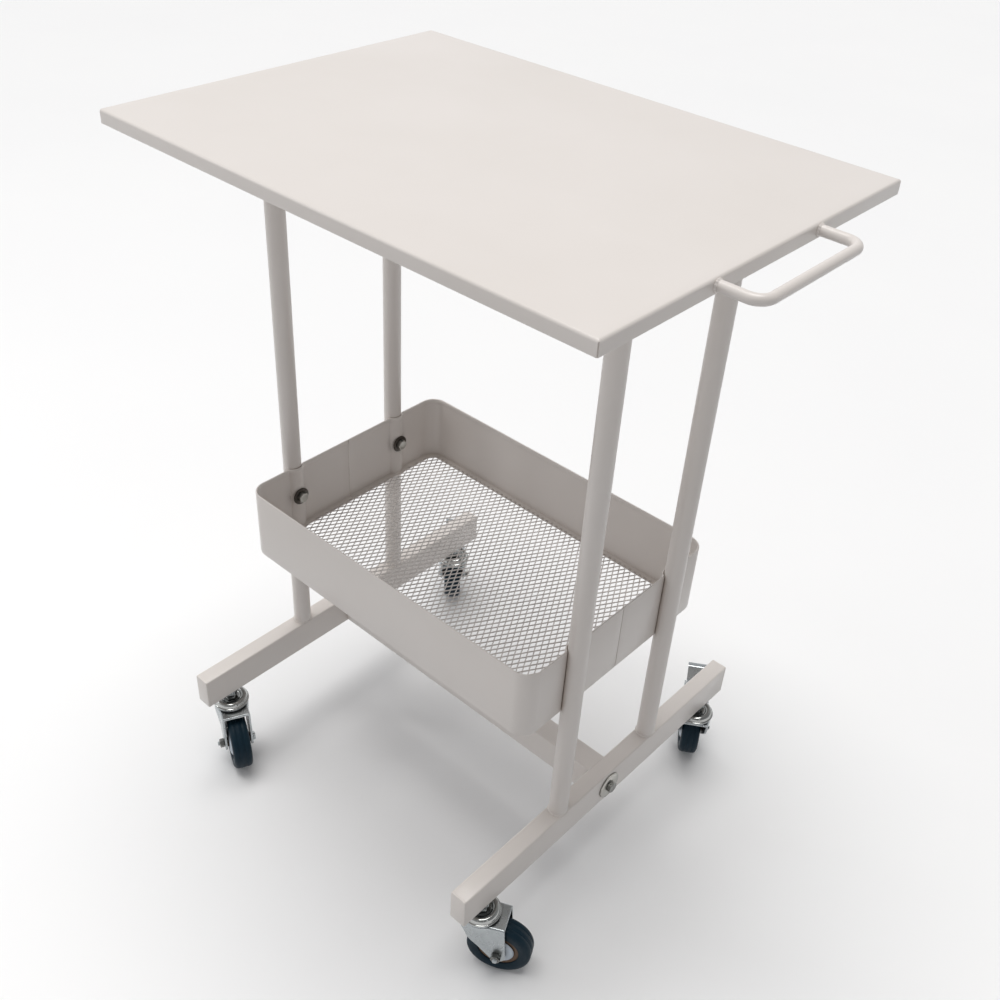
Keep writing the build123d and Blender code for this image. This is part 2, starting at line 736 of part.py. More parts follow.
def main():
    os.makedirs("parts", exist_ok=True)
    crossbar_seats = seats(
        POST_X + LEG_WIDTH / 2 + CROSSBAR_BOLT[4], LEG_BOTTOM + LEG_HEIGHT / 2, (0,), False
    )
    basket_wall_x = POST_X - POST_RADIUS - GROOVE_GAP - BASKET_SHEET
    basket_seats = seats(
        basket_wall_x - BASKET_BOLT[4], BASKET_BOLT_Z, (-POST_Y, POST_Y), True
    )
    nodes = {
        "tabletop": build_tabletop(),
        "handle": build_handle(),
        "crossbar": build_crossbar(),
        "crossbar_end_plates": build_crossbar_end_plates(),
        "crossbar_bolts": build_bolts(crossbar_seats, CROSSBAR_BOLT, CROSSBAR_BOLT_LENGTH),
        "crossbar_washers": build_washers(crossbar_seats, CROSSBAR_BOLT),
        "basket_front_half": build_basket_half(-1),
        "basket_rear_half": build_basket_half(1),
        "basket_mesh": build_basket_mesh(),
        "basket_bolts": build_bolts(basket_seats, BASKET_BOLT, BASKET_BOLT_LENGTH),
        "basket_washers": build_washers(basket_seats, BASKET_BOLT),
        "basket_rivet_nuts": build_rivet_nuts(),
        "caster_lock_nuts": build_stem_nuts(LEG_BOTTOM - LOCK_NUT_HEIGHT, LOCK_NUT_HEIGHT),
        "leg_weld_nuts": build_stem_nuts(LEG_BOTTOM + LEG_WALL, WELD_NUT_HEIGHT),
    }
    for name, side in SIDES.items():
        nodes["top_stiffener_" + name] = build_stiffener(side)
        nodes["leg_" + name] = build_leg(side)
    for name, place in POSTS.items():
        nodes[name] = build_post(*place)
    pieces = {
        "stem": build_stem(),
        "upper_race": build_upper_race(),
        "axle_bolt": build_axle_bolt(),
        "axle_nut": build_axle_nut(),
        "tyre": build_tyre(),
        "wheel_core": build_wheel_core(),
        "hub_guards": build_hub_guards(),
    }
    plain_fork = {"fork": build_fork(False)}
    brake = {
        "fork": build_fork(True),
        "brake_pedal": build_brake_pedal(),
        "pedal_pivot_pin": build_pivot_pin(),
    }
    for name, (x, y, trail_angle, braked) in CASTERS.items():
        station = Location((x, y, 0), (0, 0, trail_angle))
        for piece, shape in {**pieces, **(brake if braked else plain_fork)}.items():
            nodes[name + "_" + piece] = placed(shape, station)
    for label, shape in nodes.items():
        write(shape, label)


main()
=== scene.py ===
"""Looks of the instrument cart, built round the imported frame.

Shapes are drawn in millimetres in the frame's own axes and written in metres.
"""

import json
from math import acos, atan2, ceil, copysign, cos, exp, hypot, pi, radians, sin, sqrt, tan

import bmesh
import bpy
from mathutils import Matrix, Vector, noise


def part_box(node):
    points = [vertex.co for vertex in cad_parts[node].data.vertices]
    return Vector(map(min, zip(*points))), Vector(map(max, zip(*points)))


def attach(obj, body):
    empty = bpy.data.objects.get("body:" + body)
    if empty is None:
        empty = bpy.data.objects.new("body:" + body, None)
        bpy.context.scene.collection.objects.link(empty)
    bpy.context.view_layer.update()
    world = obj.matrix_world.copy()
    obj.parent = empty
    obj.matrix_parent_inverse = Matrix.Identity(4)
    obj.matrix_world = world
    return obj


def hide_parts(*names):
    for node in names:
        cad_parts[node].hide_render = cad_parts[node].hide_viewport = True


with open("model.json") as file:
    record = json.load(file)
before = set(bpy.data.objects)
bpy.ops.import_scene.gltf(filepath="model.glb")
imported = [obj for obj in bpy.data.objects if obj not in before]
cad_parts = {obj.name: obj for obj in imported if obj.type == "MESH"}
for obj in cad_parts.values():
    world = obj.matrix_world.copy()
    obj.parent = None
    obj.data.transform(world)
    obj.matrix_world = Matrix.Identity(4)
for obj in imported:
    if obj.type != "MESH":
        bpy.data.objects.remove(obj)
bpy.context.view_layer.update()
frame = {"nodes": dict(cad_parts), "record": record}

MM = 0.001
TURN = 2 * pi
FRAME_BODY = "cart_frame"
CASTERS = ("front_left_caster", "front_right_caster", "rear_left_caster", "rear_right_caster")
POSTS = ("post_front_left", "post_front_right", "post_rear_left", "post_rear_right")


def box_mm(node):
    """Lowest and highest corner of a CAD node in millimetres."""
    low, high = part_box(node)
    return Vector(low) / MM, Vector(high) / MM


# ------------------------------------------------------------------ shells
# A shell is a list of points in millimetres and a list of faces.
# A thread is its crest radius, pitch and depth; a hexagon is its width across flats.
M6_THREAD, M8_THREAD, M10_THREAD = (2.95, 1.0, 0.45), (3.95, 1.25, 0.6), (4.98, 1.5, 0.75)
M6_FLATS, M8_FLATS, M10_FLATS = 10.0, 13.0, 17.0
BASKET_BOLT_FLATS, COLLAR_FLATS = 12.0, 14.0
HEXAGON_STEPS = 72


def loft(rings, loop=False, caps=True):
    """Skin over rings of equal length; loop joins the last ring to the first."""
    count = len(rings[0])
    points = [Vector(p) for ring in rings for p in ring]
    faces = []
    for i in range(len(rings) if loop else len(rings) - 1):
        a, b = i * count, ((i + 1) % len(rings)) * count
        for j in range(count):
            k = (j + 1) % count
            faces.append((a + j, a + k, b + k, b + j))
    if caps and not loop:
        faces.append(tuple(range(count - 1, -1, -1)))
        last = (len(rings) - 1) * count
        faces.append(tuple(range(last, last + count)))
    return points, faces


def circle(radius, z, steps):
    """Ring of points about the Z axis."""
    angles = [TURN * j / steps for j in range(steps)]
    return [(radius * cos(a), radius * sin(a), z) for a in angles]


def lathe(profile, steps=64, closed=False):
    """Solid of revolution about Z. An open profile is capped on the axis."""
    rings = [circle(max(r, 0.0), z, steps) for r, z in profile]
    return loft(rings, loop=closed, caps=not closed)


def soften(points, passes=2, closed=True):
    """Corner cutting on a run of 2D points."""
    for _ in range(passes):
        count = len(points)
        cut = []
        for i in range(count if closed else count - 1):
            p, q = points[i], points[(i + 1) % count]
            cut.append((0.75 * p[0] + 0.25 * q[0], 0.75 * p[1] + 0.25 * q[1]))
            cut.append((0.25 * p[0] + 0.75 * q[0], 0.25 * p[1] + 0.75 * q[1]))
        points = cut if closed else [points[0]] + cut + [points[-1]]
    return points


def arc(centre, radius, start, end, steps):
    """Points on an arc, angles in degrees."""
    angles = [radians(start + (end - start) * i / steps) for i in range(steps + 1)]
    return [(centre[0] + radius * cos(a), centre[1] + radius * sin(a)) for a in angles]


def rounded_rectangle(half_x, half_y, radius, steps=6):
    """Outline of a rectangle with round corners, anticlockwise."""
    outline = []
    for quarter, (sx, sy) in enumerate(((1, 1), (-1, 1), (-1, -1), (1, -1))):
        centre = (sx * (half_x - radius), sy * (half_y - radius))
        outline += arc(centre, radius, 90 * quarter, 90 * quarter + 90, steps)
    return outline


def prism(outline, low, high, plane="xy"):
    """Outline extruded between two heights along the third axis."""
    place = {
        "xy": lambda p, h: (p[0], p[1], h),
        "xz": lambda p, h: (p[0], h, p[1]),
        "yz": lambda p, h: (h, p[0], p[1]),
    }[plane]
    return loft([[place(p, low) for p in outline], [place(p, high) for p in outline]])


def moved(shell, matrix):
    """Shell with a matrix applied to its points."""
    return [matrix @ Vector(p) for p in shell[0]], shell[1]


def joined(shells):
    """Several shells as one."""
    points, faces = [], []
    for more_points, more_faces in shells:
        base = len(points)
        points += more_points
        faces += [tuple(base + i for i in face) for face in more_faces]
    return points, faces


def hexagon_radius(flats, angle):
    """Distance from the centre to the side of a hexagon in a direction."""
    sixth = (angle + pi / 6) % (pi / 3) - pi / 6
    return flats / 2 / cos(sixth)


def hexagon_ring(flats, z, steps, chamfer=0):
    """Ring on a hexagon's sides; a chamfer of 1 or -1 sinks or lifts its corners by 30 degrees."""
    ring = []
    for j in range(steps):
        a = TURN * j / steps
        r = hexagon_radius(flats, a)
        drop = chamfer * (r - flats / 2) * tan(pi / 6)
        ring.append((r * cos(a), r * sin(a), z - drop))
    return ring


def hexagon_head(flats, low, high):
    """Bolt head with chamfered corners and a low crown."""
    steps = HEXAGON_STEPS
    inner = flats / 2
    rings = [
        circle(inner * 0.96, low, steps),
        hexagon_ring(flats, low + 0.15, steps),
        hexagon_ring(flats, high - 0.2, steps, 1),
        circle(inner * 0.97, high, steps),
        circle(inner * 0.84, high + 0.02, steps),
        circle(inner * 0.8, high - 0.12, steps),
        circle(inner * 0.2, high - 0.16, steps),
    ]
    return loft(rings)


def hexagon_nut(flats, bore, low, high):
    """Nut chamfered on both faces with a countersunk bore."""
    steps = HEXAGON_STEPS
    inner = flats / 2
    rings = [
        circle(bore, low + 0.6, steps),
        circle(bore * 1.12, low, steps),
        circle(inner * 0.95, low, steps),
        hexagon_ring(flats, low + 0.2, steps, -1),
        hexagon_ring(flats, high - 0.2, steps, 1),
        circle(inner * 0.95, high, steps),
        circle(bore * 1.12, high, steps),
        circle(bore, high - 0.6, steps),
    ]
    return loft(rings, loop=True)


def thread(size, low, high):
    """Screw thread as a true helix, with a plain chamfered end."""
    radius, pitch, depth = size
    steps = 36
    rows = int(ceil((high - low) / pitch * 8))
    rings = []
    for i in range(rows + 1):
        z = low + (high - low) * i / rows
        fade = min(1.0, (high - z) / pitch)
        ring = []
        for j in range(steps):
            a = TURN * j / steps
            wave = abs((z / pitch - j / steps) % 1.0 - 0.5) * 2
            r = radius - depth * (1 - wave) - (1 - fade) * depth
            ring.append((r * cos(a), r * sin(a), z))
        rings.append(ring)
    return loft(rings)


def bead(radius, width, height, ripples, seed):
    """Weld fillet round a tube's foot, with the ripples of the torch's steps."""
    steps = ripples * 6
    shape = [(-0.4, -0.2), (0.75, -0.2), (1.0, 0.1), (0.62, 0.42), (0.25, 0.75), (-0.4, 1.0)]
    rings = []
    for j in range(steps):
        a = TURN * j / steps
        swell = 0.86 + 0.12 * cos(ripples * a)
        swell += 0.22 * noise.noise(Vector((2 * cos(a), 2 * sin(a), seed)))
        ring = []
        for out, up in shape:
            r = radius + out * width * swell
            ring.append((r * cos(a), r * sin(a), up * height * swell))
        rings.append(ring)
    return loft(rings, loop=True)


def tube(path, radius, steps=32):
    """Round bar along 3D points, with a frame carried along the path."""
    points = [Vector(p) for p in path]
    normal = Vector((0, 0, 1))
    rings = []
    for i, point in enumerate(points):
        ahead = points[min(i + 1, len(points) - 1)]
        behind = points[max(i - 1, 0)]
        along = (ahead - behind).normalized()
        side = along.cross(normal).normalized()
        normal = side.cross(along).normalized()
        ring = []
        for j in range(steps):
            a = TURN * j / steps
            ring.append(point + radius * (cos(a) * side + sin(a) * normal))
        rings.append(ring)
    return loft(rings)


def washer_disc(bore, radius, low, high):
    """Flat washer with rolled edges from punching."""
    soft = min(0.5, (high - low) / 3)
    profile = [
        (bore, low + soft / 2),
        (bore + soft / 2, low),
        (radius - soft, low),
        (radius, low + soft),
        (radius - soft * 0.3, high - soft / 2),
        (radius - soft, high),
        (bore + soft, high),
        (bore, high - soft),
    ]
    return lathe(profile, 72, closed=True)


# ------------------------------------------------------------------ pieces
def mesh_from(name, shell):
    """Clean Blender mesh in metres from a shell."""
    points, faces = shell
    mesh = bpy.data.meshes.new(name)
    mesh.from_pydata([tuple(Vector(p) * MM) for p in points], [], faces)
    work = bmesh.new()
    work.from_mesh(mesh)
    bmesh.ops.remove_doubles(work, verts=work.verts, dist=1e-7)
    bmesh.ops.dissolve_degenerate(work, edges=work.edges, dist=1e-7)
    bmesh.ops.recalc_face_normals(work, faces=work.faces)
    work.to_mesh(mesh)
    work.free()
    return mesh


def piece(name, shell, material, body, slot, replaces=(), bevel=0.0, smooth=38.0):
    """Object from a shell, with its material, body and what it stands for. The slot argument is not
    used.
    """
    mesh = shell if isinstance(shell, bpy.types.Mesh) else mesh_from(name, shell)
    mesh.name = name
    mesh.shade_smooth()
    mesh.set_sharp_from_angle(angle=radians(smooth))
    mesh.materials.clear()
    mesh.materials.append(material)
    thing = bpy.data.objects.new(name, mesh)
    bpy.context.collection.objects.link(thing)
    if bevel:
        edge = thing.modifiers.new("edges", "BEVEL")
        edge.width = bevel * MM
        edge.segments = 2
        edge.limit_method = "ANGLE"
        edge.angle_limit = radians(28)
        edge.harden_normals = True
    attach(thing, body)
    if replaces:
        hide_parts(*replaces)
    return thing


def combined(base, other, operation):
    """Mesh of two shells or meshes joined, cut or intersected."""
    scratch = []
    for shape in (base, other):
        mesh = shape if isinstance(shape, bpy.types.Mesh) else mesh_from("scratch", shape)
        thing = bpy.data.objects.new("scratch", mesh)
        bpy.context.collection.objects.link(thing)
        scratch.append(thing)
    work = scratch[0].modifiers.new("cut", "BOOLEAN")
    work.operation = operation
    work.object = scratch[1]
    work.solver = "EXACT"
    graph = bpy.context.evaluated_depsgraph_get()
    result = bpy.data.meshes.new_from_object(scratch[0].evaluated_get(graph))
    for thing in scratch:
        bpy.data.objects.remove(thing)
    return result


# ------------------------------------------------------------------ materials
class Recipe:
    """Small helper that wires one procedural material."""

    def __init__(self, name):
        self.material = bpy.data.materials.new(name)
        self.material.use_nodes = True
        self.tree = self.material.node_tree
        self.shader = self.tree.nodes["Principled BSDF"]
        place = self.tree.nodes.new("ShaderNodeTexCoord")
        self.place = place.outputs["Object"]

    def set(self, **values):
        """Values that are the same all over, on the shader's own sockets."""
        for key, value in values.items():
            self.shader.inputs[key.replace("_", " ")].default_value = value

    def link(self, output, target):
        """Link in this material's node tree."""
        self.tree.links.new(output, target)

    def noise(self, scale, detail=3.0, stretch=None, rough=0.55):
        """Noise in the object's own metres, optionally stretched along an axis."""
        source = self.place
        if stretch:
            mapping = self.tree.nodes.new("ShaderNodeMapping")
            mapping.inputs["Scale"].default_value = stretch
            self.link(source, mapping.inputs["Vector"])
            source = mapping.outputs["Vector"]
        node = self.tree.nodes.new("ShaderNodeTexNoise")
        node.inputs["Scale"].default_value = scale
        node.inputs["Detail"].default_value = detail
        node.inputs["Roughness"].default_value = rough
        self.link(source, node.inputs["Vector"])
        return node.outputs["Fac"]

    def ramp(self, value, low, high, from_low=0.3, from_high=0.7):
        """Value carried from one range to another, clamped."""
        node = self.tree.nodes.new("ShaderNodeMapRange")
        node.inputs["From Min"].default_value = from_low
        node.inputs["From Max"].default_value = from_high
        node.inputs["To Min"].default_value = low
        node.inputs["To Max"].default_value = high
        self.link(value, node.inputs["Value"])
        return node.outputs["Result"]

    def mix(self, factor, first, second):
        """Colour between two colours, each a tuple or another node's output."""
        node = self.tree.nodes.new("ShaderNodeMix")
        node.data_type = "RGBA"
        self.link(factor, node.inputs["Factor"])
        for socket, value in (("A", first), ("B", second)):
            target = [s for s in node.inputs if s.name == socket and s.type == "RGBA"][0]
            if isinstance(value, tuple):
                target.default_value = (*value, 1.0)
            else:
                self.link(value, target)
        return [s for s in node.outputs if s.type == "RGBA"][0]

    def painted_shade_mask(self, distance, low, high):
        """Painted shade mask from ambient occlusion: one in the corners and nought on open faces.
        """
        node = self.tree.nodes.new("ShaderNodeAmbientOcclusion")
        node.inputs["Distance"].default_value = distance
        node.samples = 6
        return self.ramp(node.outputs["AO"], 1.0, 0.0, low, high)

    def colour(self, tone):
        """Base colour from a node's output."""
        self.link(tone, self.shader.inputs["Base Color"])

    def rough(self, value, low, high, from_low, from_high):
        """Roughness from a noise carried to a range."""
        self.link(self.ramp(value, low, high, from_low, from_high), self.shader.inputs["Roughness"])

    def bump(self, layers):
        """Bump layers as (height, strength, depth in millimetres)."""
        previous = None
        for height, strength, depth in layers:
            node = self.tree.nodes.new("ShaderNodeBump")
            node.inputs["Strength"].default_value = strength
            node.inputs["Distance"].default_value = depth * MM
            self.link(height, node.inputs["Height"])
            if previous:
                self.link(previous, node.inputs["Normal"])
            previous = node.outputs["Normal"]
        self.link(previous, self.shader.inputs["Normal"])


def paint(name, base, shade, rough_low, rough_high):
    """Powder coat: orange peel, slow tone drift, faint rubbed marks, painted shade in the corners.
    """
    recipe = Recipe(name)
    drift = recipe.ramp(recipe.noise(5.0, 4.0), 0.0, 1.0)
    tone = recipe.mix(drift, base, shade)
    # painted shade: ambient occlusion darkens the coat in corners and creases
    painted_corner_shade = recipe.painted_shade_mask(0.012, 0.1, 0.78)
    tone = recipe.mix(painted_corner_shade, tone, (base[0] * 0.62, base[1] * 0.57, base[2] * 0.52))
    recipe.colour(tone)
    rub = recipe.noise(24.0, 2.0, (1.0, 1.0, 0.4))
    recipe.rough(rub, rough_low, rough_high, 0.0, 1.0)
    recipe.set(Coat_Weight=0.22, Coat_Roughness=0.12, IOR=1.5)
    recipe.bump(
        [
            (recipe.noise(3.2, 2.0), 0.3, 1.0),
            (recipe.noise(760.0, 1.0), 0.1, 0.05),
        ]
    )
    return recipe.material


def plated(name, base, tint, rough_low, rough_high, grain=(1.0, 1.0, 1.0)):
    """Plated or plain steel: faint drawing marks, soft clouding and painted shade in the corners.
    """
    recipe = Recipe(name)
    patches = recipe.ramp(recipe.noise(60.0, 2.0), 0.0, 1.0)
    tone = recipe.mix(patches, base, tint)
    dull = recipe.ramp(recipe.noise(240.0, 3.0, grain), 0.0, 0.2, 0.55, 0.75)
    tone = recipe.mix(dull, tone, tuple(0.82 * c for c in base))
    # painted shade: ambient occlusion darkens the metal almost to black in corners and hollows
    painted_shade = recipe.painted_shade_mask(0.014, 0.08, 0.72)
    tone = recipe.mix(painted_shade, tone, (0.045, 0.042, 0.038))
    recipe.colour(tone)
    wear = recipe.noise(160.0, 4.0, grain)
    recipe.rough(wear, rough_low, rough_high, 0.1, 0.9)
    recipe.set(Metallic=1.0)
    recipe.bump(
        [
            (recipe.noise(600.0, 2.0, grain), 0.04, 0.02),
            (recipe.noise(45.0, 2.0), 0.06, 0.2),
        ]
    )
    return recipe.material


def rubber(name):
    """Satin blue-black rubber, lighter where it has rolled and gathered dust."""
    recipe = Recipe(name)
    base = (0.005, 0.019, 0.032)
    tone = recipe.mix(recipe.ramp(recipe.noise(70.0, 4.0), 0.0, 1.0), base, (0.009, 0.026, 0.04))
    dust = recipe.ramp(recipe.noise(240.0, 6.0, None, 0.7), 0.0, 0.3, 0.55, 0.8)
    tone = recipe.mix(dust, tone, (0.036, 0.052, 0.062))
    recipe.colour(tone)
    recipe.rough(recipe.noise(150.0, 4.0), 0.34, 0.55, 0.1, 0.9)
    recipe.set(Specular_IOR_Level=0.15)
    recipe.bump([(recipe.noise(1300.0, 3.0), 0.35, 0.06), (recipe.noise(210.0, 3.0), 0.2, 0.12)])
    return recipe.material


def moulded(name, base, shade, rough_low, rough_high):
    """Moulded plastic with faint flow marks and a fine grain."""
    recipe = Recipe(name)
    flow = recipe.ramp(recipe.noise(130.0, 5.0, (1.0, 1.0, 0.3)), 0.0, 1.0)
    tone = recipe.mix(flow, base, shade)
    # painted shade: ambient occlusion darkens the plastic in its corners
    painted_shade = recipe.painted_shade_mask(0.005, 0.2, 0.8)
    tone = recipe.mix(painted_shade, tone, tuple(0.45 * c for c in base))
    recipe.colour(tone)
    recipe.rough(recipe.noise(300.0, 3.0), rough_low, rough_high, 0.1, 0.9)
    recipe.bump([(recipe.noise(1500.0, 2.0), 0.25, 0.04)])
    return recipe.material


def plain_floor(name):
    """Pale matt studio floor with a barely visible mottle."""
    recipe = Recipe(name)
    mottle = recipe.ramp(recipe.noise(1.3, 4.0), 0.0, 1.0)
    tone = recipe.mix(mottle, (0.9, 0.9, 0.9), (0.885, 0.885, 0.888))
    recipe.colour(tone)
    recipe.rough(recipe.noise(9.0), 0.8, 0.9, 0.3, 0.7)
    recipe.set(Specular_IOR_Level=0.1)
    return recipe.material


COAT = paint("powder_coat", (0.77, 0.72, 0.683), (0.74, 0.69, 0.648), 0.27, 0.4)
COAT_MESH = paint("powder_coat_mesh", (0.73, 0.69, 0.665), (0.69, 0.65, 0.62), 0.32, 0.46)
ZINC = plated("zinc_plate", (0.44, 0.47, 0.485), (0.51, 0.54, 0.55), 0.24, 0.32)
RACE = plated("zinc_plate_bright", (0.40, 0.405, 0.395), (0.52, 0.53, 0.52), 0.1, 0.17)
STEEL = plated("stainless", (0.44, 0.43, 0.40), (0.54, 0.53, 0.50), 0.22, 0.4, (1.0, 1.0, 0.2))
BOLT = plated("bolt_steel", (0.20, 0.20, 0.19), (0.27, 0.27, 0.26), 0.2, 0.34, (1.0, 1.0, 0.2))
DARK = plated("black_zinc", (0.075, 0.068, 0.06), (0.11, 0.10, 0.09), 0.28, 0.42)
RUBBER = rubber("tyre_rubber")
CORE = moulded("core_brown", (0.105, 0.055, 0.028), (0.16, 0.09, 0.045), 0.4, 0.6)
GUARD = moulded("guard_grey", (0.55, 0.61, 0.68), (0.62, 0.68, 0.74), 0.35, 0.5)


# ------------------------------------------------------------------ top and handle
def tabletop():
    """Folded tray with soft edges and an open joint down each corner."""
    low, high = box_mm("tabletop")
    half_x, half_y = (high.x - low.x) / 2, (high.y - low.y) / 2
    top, bottom = high.z, low.z
    sheet, fold, corner, gap = 1.2, 3.0, 1.7, 0.6
    steps = 4

    def ring(inset, z, notch=0.0):
        radius = max(corner - inset, 0.6)
        outline = rounded_rectangle(half_x - inset, half_y - inset, radius, steps)
        for middle in range(steps // 2, len(outline), steps + 1):
            x, y = outline[middle]
            outline[middle] = (x - copysign(notch, x), y - copysign(notch, y))
        return [(x, y, z) for x, y in outline]

    under = top - sheet
    rings = [ring(14.0, under), ring(sheet + 1.6, under), ring(sheet, under - 1.4)]
    rings += [ring(sheet, bottom + 0.2), ring(sheet * 0.8, bottom)]
    rings += [ring(sheet * 0.25, bottom, gap * 0.7), ring(0.0, bottom + 0.35, gap)]
    bend = arc((fold, top - fold), fold, 180, 90, 6)
    rings += [ring(r, z, gap if i < 2 else 0.0) for i, (r, z) in enumerate(bend)]
    rings += [ring(9.0, top), ring(60.0, top)]
    piece("tray_top", loft(rings), COAT, FRAME_BODY, "powder_coat", ("tabletop",))


def push_handle():
    """Bent round bar welded to the tray's end."""
    low, high = box_mm("handle")
    tray_end = box_mm("tabletop")[1].x
    radius, bend = 5.0, 14.0
    bar_x = high.x - radius
    z = (low.z + high.z) / 2
    foot_y = (high.y - low.y) / 2 - (high.z - low.z) / 2
    path = [(tray_end - 0.3, -foot_y), (tray_end + 8.0, -foot_y)]
    path += arc((bar_x - bend, -foot_y + bend), bend, -90, 0, 14)
    path += [(bar_x, -foot_y / 3), (bar_x, foot_y / 3)]
    path += arc((bar_x - bend, foot_y - bend), bend, 0, 90, 14)
    path += [(tray_end + 8.0, foot_y), (tray_end - 0.3, foot_y)]
    bar = tube([(x, y, z) for x, y in path], radius, 40)
    beads = []
    for side in (-1, 1):
        turn = Matrix.Translation((tray_end, side * foot_y, z)) @ Matrix.Rotation(pi / 2, 4, "Y")
        beads.append(moved(bead(radius, 1.25, 2.4, 13, side), turn))
    piece("push_handle", joined([bar] + beads), COAT, FRAME_BODY, "powder_coat", ("handle",))


# ------------------------------------------------------------------ end frames
POST_RADIUS = 11.0
TUBE_CORNER = 2.0


def post(node, seed):
    """Round tube with a weld bead at its foot and a thinner one at its head."""
    low, high = box_mm(node)
    x, y = (low.x + high.x) / 2, (low.y + high.y) / 2
    radius = POST_RADIUS
    foot, head = low.z, high.z
    levels = [foot - 0.2, foot + 40, (foot + head) / 2, head - 40, head]
    shaft = loft([circle(radius, z, 64) for z in levels])
    foot_bead = moved(bead(radius, 1.5, 2.3, 22, seed), Matrix.Translation((0, 0, foot)))
    flip = Matrix.Translation((0, 0, head)) @ Matrix.Rotation(pi, 4, "X")
    head_bead = moved(bead(radius, 1.3, 1.8, 20, seed + 9), flip)
    shell = moved(joined([shaft, foot_bead, head_bead]), Matrix.Translation((x, y, 0)))
    piece(node + "_tube", shell, COAT, FRAME_BODY, "powder_coat", (node,), smooth=50)


def leg(node):
    """Rectangular tube foot with end plates welded in and ground flush."""
    low, high = box_mm(node)
    x, z = (low.x + high.x) / 2, (low.z + high.z) / 2
    half_x, half_z = (high.x - low.x) / 2, (high.z - low.z) / 2
    ends = high.y

    def ring(y, inset, radius):
        outline = rounded_rectangle(half_x - inset, half_z - inset, radius, 6)
        return [(x + u, y, z + v) for u, v in outline]

    # distance along the foot, inset and corner radius: ground end plate, then its weld line
    stations = [(ends, 1.4, 1.0), (ends - 0.4, 0.45, 1.6), (ends - 1.3, 0.05, TUBE_CORNER)]
    stations += [(ends - 1.9, 0.0, TUBE_CORNER), (ends - 2.2, 0.16, TUBE_CORNER)]
    stations += [(ends - 2.5, 0.0, TUBE_CORNER), (120.0, 0.0, TUBE_CORNER)]
    rings = [ring(-y, inset, radius) for y, inset, radius in stations]
    rings += [ring(y, inset, radius) for y, inset, radius in reversed(stations)]
    piece(node + "_tube", loft(rings), COAT, FRAME_BODY, "powder_coat", (node,))


def crossbar():
    """Rectangular tube between the feet, with a weld seam along its lower face."""
    low, high = box_mm("crossbar")
    z = (low.z + high.z) / 2
    half_y, half_z = (high.y - low.y) / 2, (high.z - low.z) / 2
    into_foot = 1.0
    outline = rounded_rectangle(half_y, half_z, 2.2, 6)
    stations = (low.x - into_foot, low.x / 2, high.x / 2, high.x + into_foot)
    rings = [[(x, u, z + v) for u, v in outline] for x in stations]
    seam = tube([(low.x + 2, 3.0, low.z + 0.25), (high.x - 2, 3.0, low.z + 0.25)], 0.6, 10)
    shell = joined([loft(rings), seam])
    piece("crossbar_tube", shell, COAT, FRAME_BODY, "powder_coat", ("crossbar",))


def facing(point, direction):
    """Matrix that puts a piece drawn along +Z at a point, pointing in a direction."""
    turn = Vector(direction).to_track_quat("Z", "Y").to_matrix().to_4x4()
    return Matrix.Translation(point) @ turn


def crossbar_fasteners():
    """Hexagon bolts and wide washers at the outer sides of the feet."""
    low, high = box_mm("crossbar_washers")
    z = (low.z + high.z) / 2
    radius = (high.z - low.z) / 2
    outer = high.x
    sheet = 2.0
    bolts, washers = [], []
    for side, turn in ((-1, 12.0), (1, 38.0)):
        seat = facing((side * outer, 0, z), (side, 0, 0)) @ Matrix.Rotation(radians(turn), 4, "Z")
        bolts.append(moved(hexagon_head(M8_FLATS, 0.05, 5.3), seat))
        bolts.append(moved(thread(M8_THREAD, -28.0, -0.1), seat))
        washers.append(moved(washer_disc(4.3, radius, -sheet, 0.0), seat))
    for name, shells, material, node in (
        ("crossbar_bolt_pair", bolts, BOLT, "crossbar_bolts"),
        ("crossbar_washer_pair", washers, STEEL, "crossbar_washers"),
    ):
        piece(name, joined(shells), material, FRAME_BODY, "stainless", (node,))


# ------------------------------------------------------------------ basket
BASKET_LOW, BASKET_HIGH = box_mm("basket_front_half")
REAR_HIGH = box_mm("basket_rear_half")[1]
BASKET_X, BASKET_Y = BASKET_HIGH.x, REAR_HIGH.y
BASKET_CORNER = 20.0
POST_PLACE = box_mm("post_rear_right")
POST_X = (POST_PLACE[0].x + POST_PLACE[1].x) / 2
POST_Y = (POST_PLACE[0].y + POST_PLACE[1].y) / 2
GROOVE = 11.3  # radius of the wall's outer face where it wraps a post
MOUTH = 2.5  # radius of the bends that lead into a groove
WALL = 1.2
LIP = 10.5  # depth of the bottom lip that carries the mesh
MESH_INSET = WALL + 4.4


